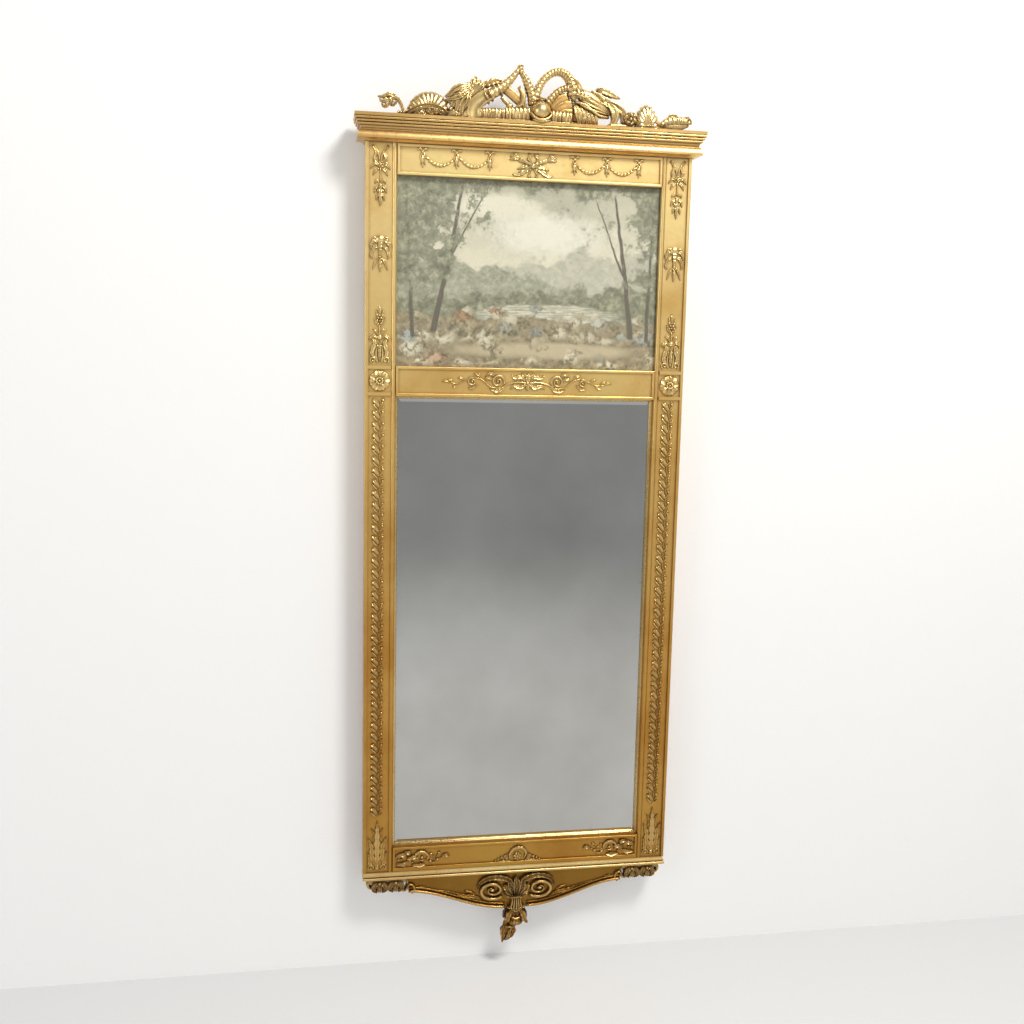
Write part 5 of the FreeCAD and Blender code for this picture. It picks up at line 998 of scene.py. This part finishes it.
def carve_crest_bow_left():
    """The ribbed left loop, which rises from the leaves to its knob."""
    work = crest_piece("crest_bow_left")
    work.form([(-108, -0.5), (-111, 12), (-107, 26), (-95, 37), (-78, 46)], (13.0, 13.0, 12.6, 11.6, 10.0),
              (8.0, 8.5, 9.0, 9.2, 9.0), CUPPED, count=20)
    work.form([(-84, 42), (-68, 52), (-55, 62), (-42, 75), (-31, 89)], (10.0, 9.4, 8.4, 6.6, 4.6),
              (9.4, 9.6, 9.2, 8.2, 6.8), ribs=8, rib=0.3)
    for x, z in ((-88, 38), (-81, 42.5), (-65, 53)):
        work.form([(x - 5.5, z + 9.5), (x, z, 0.5), (x + 5.5, z - 9.5)], (1.5, 1.8, 1.5), (8.8, 10.4, 8.8))
    work.form([(-29, 89), (-19, 76), (-12, 61), (-6, 46), (-3, 30)], (3.6, 6.4, 8.0, 9.0, 9.6),
              (6.8, 8.2, 8.8, 9.0, 9.0), ribs=9, rib=0.34)
    work.form([(-64, 58), (-48, 52), (-35, 42), (-24, 32), (-20, 18)], (5.0, 8.5, 8.5, 8.0, 7.0),
              (5.0, 6.2, 6.4, 6.4, 6.4), RIDGED, lift=-2.6)
    work.form([(-30, 60), (-22, 47), (-24, 32), (-33, 25)], (3.0, 4.8, 4.8, 2.6), (7.0, 9.0, 9.0, 6.5), lift=0.8)
    work.berry(-28, 91, 6.0, 7.2, wide=1.15)
    work.leaf([(-31, 88), (-29, 94), (-22, 95.6)], 8, 6.0, tip=0.3)
    work.form([(-61, 41), (-54, 34), (-48, 28)], (3.0, 3.4, 3.0), (6.5, 7.0, 6.5))
    work.berry(-46, 26, 6.4, 7.6)
    work.form([(-46, 24), (-48, 15), (-44, 4)], (3.2, 3.8, 4.6), (6.5, 7.0, 7.0))
    work.finish()


def carve_crest_tails():
    """The ribbons that lie along the cornice, with their folds."""
    work = crest_piece("crest_ribbon_tails")
    flat = (0.8, 0.95, 1.0, 0.95, 0.8)
    for points, half, rise, ribs in (([(-100, 9), (-80, 10.5), (-54, 10)], 10.0, 7.4, 8),
                                     ([(-54, 10.5), (-34, 12.5), (-8, 13)], 12.0, 8.6, 7),
                                     ([(16, 12), (42, 11), (68, 10)], 10.6, 8.2, 8)):
        work.form(points, (half, half, half), (rise, rise, rise), flat, ribs=ribs, rib=0.26)
    for number in range(15):
        x = -96 + 11.4 * number + 2.6 * math.sin(2.3 * number)
        work.form([(x - 0.8, 1.0), (x, 10.0, 1.0), (x + 1.0, 18.5)], (0.9, 1.3, 0.9), (8.0, 9.0, 8.0))
    work.form([(-104, 1.5), (0, 2.0), (76, 1.5)], (2.0, 2.0, 2.0), (7.5, 9.0, 7.5))
    work.finish()


def carve_crest_ball():
    """The ball in the middle, with the leaves that hold it."""
    work = crest_piece("crest_knot", seat=KNOT)
    work.berry(10, 19.5, 18.0, 18.0, around=32, wide=1.04)
    work.form([(-10, 16), (-2, 6), (10, 2.5), (22, 6), (30, 16)], (1.8, 3.4, 4.0, 3.4, 1.8),
              (13.0, 16.5, 18.0, 16.5, 13.0))
    work.form([(-6, 3), (10, -0.2), (26, 3)], (2.4, 2.6, 2.4), (14.0, 16.0, 14.0))
    work.leaf([(2, 33), (9, 40), (20, 41)], 8, 8.0, lobes=3)
    work.form([(-8, 30), (-4, 37), (6, 40)], (2.4, 3.2, 2.4), (9.0, 10.0, 8.0), ribs=4)
    work.finish()


def carve_crest_bow_right():
    """The ribbed right loop and the folds behind it."""
    work = crest_piece("crest_bow_right")
    work.form([(-1, 22), (0, 40), (6, 60), (16, 76), (30, 87), (44, 90), (57, 84), (66, 70), (69, 50)],
              (9.4, 8.6, 7.6, 7.0, 6.8, 7.2, 8.4, 9.6, 10.0), (9.0, 9.0, 8.8, 8.6, 8.4, 8.6, 9.0, 9.4, 9.4), ribs=21,
              rib=0.3)
    work.form([(18, 28), (27, 41), (38, 53), (50, 61), (62, 64)], (7.4, 7.0, 6.4, 6.0, 6.0),
              (8.6, 8.6, 8.0, 7.4, 6.8), ribs=9, rib=0.46, lift=1.0)
    work.form([(58, 80), (73, 70), (76, 56), (68, 44)], (4.6, 7.4, 7.4, 5.0), (7.4, 9.4, 9.4, 7.4), CUPPED, lift=0.8)
    for points in ([(30, 24), (42, 40), (62, 48)], [(34, 18), (50, 30), (70, 36)], [(38, 10), (54, 18), (72, 20)]):
        work.form(points, (7.0, 10.0, 9.0), (5.0, 5.6, 5.6), RIDGED, lift=-3.2)
    work.finish()


def carve_crest_quiver():
    """A sheaf of feathers, bound at its upper end, that falls to the right."""
    work = crest_piece("crest_quiver")
    work.form([(80, 56), (98, 46, 1.0), (118, 32, 1.0), (138, 22)], (9.0, 14.0, 13.0, 5.0), (7.0, 8.6, 8.4, 5.0))
    for number in range(6):
        x, z = 76 + 6.0 * number, 63 - 2.2 * number
        work.form([(x - 1, z + 2), (x + 2.5, z - 8, 1.5), (x + 7, z - 19)], (2.8, 3.7, 3.2), (7.0, 8.6, 8.4))
    for offset in (-9, -3, 3, 9):
        work.form([(84 + offset * 0.5, 46 + offset), (104 + offset * 0.4, 36 + offset, 3.0),
                   (134, 24 + offset * 0.4, 1.0)], (2.0, 3.0, 1.4), (7.5, 9.0, 6.0))
    work.form([(72, 53), (90, 48, 2.2), (110, 40)], (2.6, 3.2, 2.6), (8.4, 9.8, 8.4), ribs=5, rib=0.2)
    work.form([(72, 22), (92, 16), (114, 10)], (16.0, 16.0, 9.0), (5.6, 6.4, 5.6), lift=-1.6)
    for number in range(5):
        x = 73 + 8.0 * number
        work.leaf([(x, 36 - 3.4 * number), (x + 5, 18 - 1.5 * number, 0.8), (x + 9, 0.0)], 13, 7.6, lobes=4, cut=0.14,
                  tip=0.5)
    work.form([(72, 40), (92, 34, 2.4), (114, 19, 2.0), (136, 16)], (2.6, 3.2, 3.0, 2.0), (8.0, 9.4, 9.0, 6.5))
    work.finish()


def carve_crest_leaves_right():
    """A bent stalk, leaves and a flower, and the right shell."""
    work = crest_piece("crest_leaves_right")
    work.form([(100, 56), (116, 49), (134, 40), (150, 34), (162, 25), (166, 8)], (5.6, 6.6, 6.8, 6.0, 5.2, 5.0),
              (7.6, 8.6, 8.6, 8.2, 8.2, 8.0), CUPPED, count=24)
    work.leaf([(113, 60), (124, 60.5, 1.0), (138, 56), (156, 50)], 13, 7.5, lobes=5, cut=0.2, lift=1.0, tip=0.15)
    work.leaf([(112, 58), (117, 65), (124, 61)], 9, 6.5, lobes=2)
    work.form([(114, 57), (120, 51), (128, 45)], (5.0, 5.4, 5.0), (6.5, 7.0, 7.0))
    work.leaf([(132, 42), (145, 28, 2.0), (147, 13, 2.0), (140, -0.5)], 17, 9.0, lobes=2, cut=0.08, tip=0.6)
    work.form([(136, 2), (152, 3), (170, 2)], (3.4, 3.8, 4.4), (8.0, 8.0, 8.5))
    for number in range(6):
        lean = math.radians(60 * number + 12)
        work.form([(176, 15), (176 + 7 * math.cos(lean), 15 + 8 * math.sin(lean), 1.4),
                   (176 + 11.5 * math.cos(lean), 15 + 13.5 * math.sin(lean))],
                  (3.0, 6.0, 3.4), (8.0, 9.0, 6.0), CUPPED, lift=1.2)
    work.berry(176, 15, 5.0, 12.0)
    work.leaf([(170, 9), (172, 2), (182, -0.3)], 10, 8.5, lobes=3)
    shell = [(187, 2), (187, 13), (189, 23), (193, 32), (199, 39), (206, 42), (213, 39), (219, 32), (225, 23),
             (231, 13), (237, 3)]
    scallop(work, (209, -4), shell, 8.6)
    work.form([(184, 1), (196, 7), (212, 9), (227, 6), (240, 0.5)], (2.6, 3.8, 4.2, 3.8, 2.4),
              (9.0, 10.0, 10.4, 10.0, 8.5), CUPPED, lift=1.0)
    work.finish()


def carve_crest_bud_right():
    """The long ribbed bud at the crest's right end."""
    work = crest_piece("crest_bud_right")
    work.form([(234, 8), (246, 14), (262, 16.5), (278, 17), (294, 15)], (3.4, 8.6, 10.0, 8.0, 2.0),
              (5.0, 8.0, 9.0, 7.8, 3.4), ribs=8, rib=0.24)
    work.form([(240, 6), (254, 5), (270, 6), (287, 10)], (3.0, 4.8, 4.8, 2.4), (8.0, 9.8, 9.8, 5.4), RIDGED, lift=0.8)
    work.leaf([(274, 16), (284, 23), (293, 17)], 9, 6.5, lobes=3, tip=0.4)
    work.leaf([(244, 14), (253, 25), (266, 26)], 9, 6.5, lobes=3, tip=0.4)
    work.form([(228, 2), (240, 3), (262, 1)], (2.6, 3.4, 2.6), (6.5, 7.6, 7.0))
    work.finish()


def make_moulding(name, slot, node, half, depth, profile):
    """Runs a profile of (inset, height) across the front and back to the wall at both ends, with mitres."""
    rings = []
    for side, front in ((-1, False), (-1, True), (1, True), (1, False)):
        ring = []
        for inset, height in profile:
            ring.append((side * (half - inset), -(depth - inset) if front else -0.0005, height))
        rings.append(ring)
    work = Carving(name, slot, node)
    work.rings(rings)
    piece = work.finish()
    piece.data.set_sharp_from_angle(angle=math.radians(32))
    dress(piece, "base")


def round_over(depth, low, high, steps):
    """Places round a half-round nose that stands forward to inset 0."""
    middle, radius = (low + high) / 2, (high - low) / 2
    turns = [math.pi * step / (steps - 1) for step in range(steps)]
    return [(depth * (1 - math.sin(turn)), middle + radius * math.cos(turn)) for turn in turns]


make_moulding("moulded_base_board", "gilt", "base_board", 301.4, 45.9,
              [(40.0, -942.1), (4.4, -942.1), (3.9, -943.2), (2.9, -945.6), (1.4, -947.6), (1.2, -948.8),
               (3.6, -949.1), (3.6, -951.0), *round_over(3.4, -956.9, -951.1, 9), (40.0, -956.9)])

for side, name in SIDES:
    for carve in (carve_rosette, carve_vine, carve_foot, carve_ribbon_drop, carve_torch, carve_lyre, carve_swag,
                  carve_spray, carve_apron_scroll, carve_apron_end):
        carve(side, name)
for carve in (carve_emblem, carve_arabesque, carve_palmette, carve_fan, carve_pendant, carve_crest_bud_left,
              carve_crest_leaves_left, carve_crest_bow_left, carve_crest_tails, carve_crest_ball,
              carve_crest_bow_right, carve_crest_quiver, carve_crest_leaves_right, carve_crest_bud_right):
    carve()


def make_pane():
    """The old cover glass: a thin sheet with faint ripples."""
    across, up, ripple = 28, 20, 0.00006
    left, right, low, high = -0.248, 0.248, 0.023, 0.368
    points, faces = [], []
    for depth, sway in ((-0.0319, ripple), (-0.0305, 0.0)):
        for row in range(up + 1):
            for column in range(across + 1):
                x = left + (right - left) * column / across
                z = low + (high - low) * row / up
                wave = sway * (math.sin(31 * x + 9 * z) + math.sin(23 * z - 14 * x))
                points.append((x, depth + wave, z))
    layer = (across + 1) * (up + 1)
    for row in range(up):
        for column in range(across):
            spot = row * (across + 1) + column
            quad = (spot, spot + 1, spot + across + 2, spot + across + 1)
            faces.append(quad)
            faces.append(tuple(layer + corner for corner in reversed(quad)))
    rim = list(range(across + 1))
    rim += [row * (across + 1) + across for row in range(1, up + 1)]
    rim += [up * (across + 1) + column for column in range(across - 1, -1, -1)]
    rim += [row * (across + 1) for row in range(up - 1, 0, -1)]
    for spot, after in zip(rim, rim[1:] + rim[:1]):
        faces.append((after, spot, layer + spot, layer + after))
    data = bpy.data.meshes.new("cover_pane")
    data.from_pydata(points, [], faces)
    data.materials.append(materials["glass"])
    pane = bpy.data.objects.new("cover_pane", data)
    scene.collection.objects.link(pane)
    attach(pane, "frame")
    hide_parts("picture_glass")


make_pane()

# ---------------------------------------------------------------- studio

FLOOR_HEIGHT, WALL_DEPTH = -1.16, 0.02
STAGE_HALF, FLOOR_FRONT, WALL_TOP = 14, -30, 6
STAGE_GREY, STAGE_GLOW = (0.9, 0.9, 0.9), 0.11
ROOM_STRENGTH = 0.78
# The room's light by height, from floor to ceiling, and from left to right; each level is tinted a little.
ROOM_HEIGHTS = [(0.0, (0.16, 0.15, 0.14)), (0.40, (0.62, 0.62, 0.62 * 0.98)), (0.52, (0.92, 0.92, 0.92 * 0.98)),
                (0.70, (0.85, 0.85, 0.85 * 0.98)), (1.0, (0.45, 0.45, 0.46))]
ROOM_SIDES = [(0.0, (0.30, 0.30, 0.31)), (0.32, (0.40, 0.40, 0.40)), (0.54, WHITE), (0.78, WHITE),
              (1.0, (0.35, 0.35, 0.34))]


def make_backdrop():
    """A pale wall and floor. The wall hides nothing from behind: only what looks at its front meets it."""
    left, right, low = -STAGE_HALF, STAGE_HALF, FLOOR_HEIGHT
    wall = [(left, WALL_DEPTH, low), (right, WALL_DEPTH, low), (right, WALL_DEPTH, WALL_TOP),
            (left, WALL_DEPTH, WALL_TOP)]
    floor = [(left, FLOOR_FRONT, low), (right, FLOOR_FRONT, low), (right, STAGE_HALF, low), (left, STAGE_HALF, low)]
    for name, corners in (("wall", wall), ("floor", floor)):
        data = bpy.data.meshes.new(name)
        data.from_pydata(corners, [], [(0, 1, 2, 3)])
        thing = bpy.data.objects.new(name, data)
        scene.collection.objects.link(thing)
        mat = Nodes(f"plain_{name}")
        mat.surface(STAGE_GREY, 0.9)
        mat.shader.inputs["Emission Color"].default_value = (*WHITE, 1.0)
        ray = mat.add("ShaderNodeLightPath").outputs
        seen = mat.most(ray["Is Camera Ray"], mat.most(ray["Is Glossy Ray"], ray["Is Transmission Ray"]))
        mat.link(mat.times(seen, STAGE_GLOW), mat.shader.inputs["Emission Strength"])
        if name == "wall":
            behind = mat.add("ShaderNodeNewGeometry").outputs["Backfacing"]
            mat.link(mat.times(seen, mat.minus(1.0, behind)), mat.shader.inputs["Alpha"])
        data.materials.append(mat.material)


def add_light(name, place, size, watts, colour=WHITE):
    """A rectangular lamp that looks at the frame's origin."""
    data = bpy.data.lights.new(name, "AREA")
    data.shape = "RECTANGLE"
    data.size, data.size_y = size
    data.energy = watts
    data.color = colour
    light = bpy.data.objects.new(name, data)
    light.location = place
    light.rotation_mode = "QUATERNION"
    light.rotation_quaternion = (-Vector(place)).to_track_quat("-Z", "Y")
    scene.collection.objects.link(light)


class Room(Nodes):
    """The world's nodes, made as a material's are."""

    def __init__(self, name):
        world = bpy.data.worlds.new(name)
        world.use_nodes = True
        scene.world = world
        self.tree = world.node_tree
        self.coordinates = self.add("ShaderNodeTexCoord").outputs["Generated"]


def make_world():
    """Soft room light: brightest level with the eye, in front and to the right, and greyer all round."""
    room = Room("studio")
    heights = room.ramp(room.grey(room.axis("Z"), -0.7, 0.9), ROOM_HEIGHTS)
    sides = room.ramp(room.grey(room.axis("X"), -1.0, 1.0), ROOM_SIDES)
    background = room.tree.nodes["Background"].inputs
    room.link(room.mix(1.0, heights, sides, "MULTIPLY"), background["Color"])
    background["Strength"].default_value = ROOM_STRENGTH


make_camera()
make_world()
make_backdrop()
add_light("key", (1.0, -2.0, 2.2), size=(0.8, 0.8), watts=74.0, colour=(1.0, 0.97, 0.92))
add_light("fill", (-2.3, -2.0, 0.5), size=(0.9, 1.6), watts=12.0)
scene.view_settings.view_transform = "Standard"
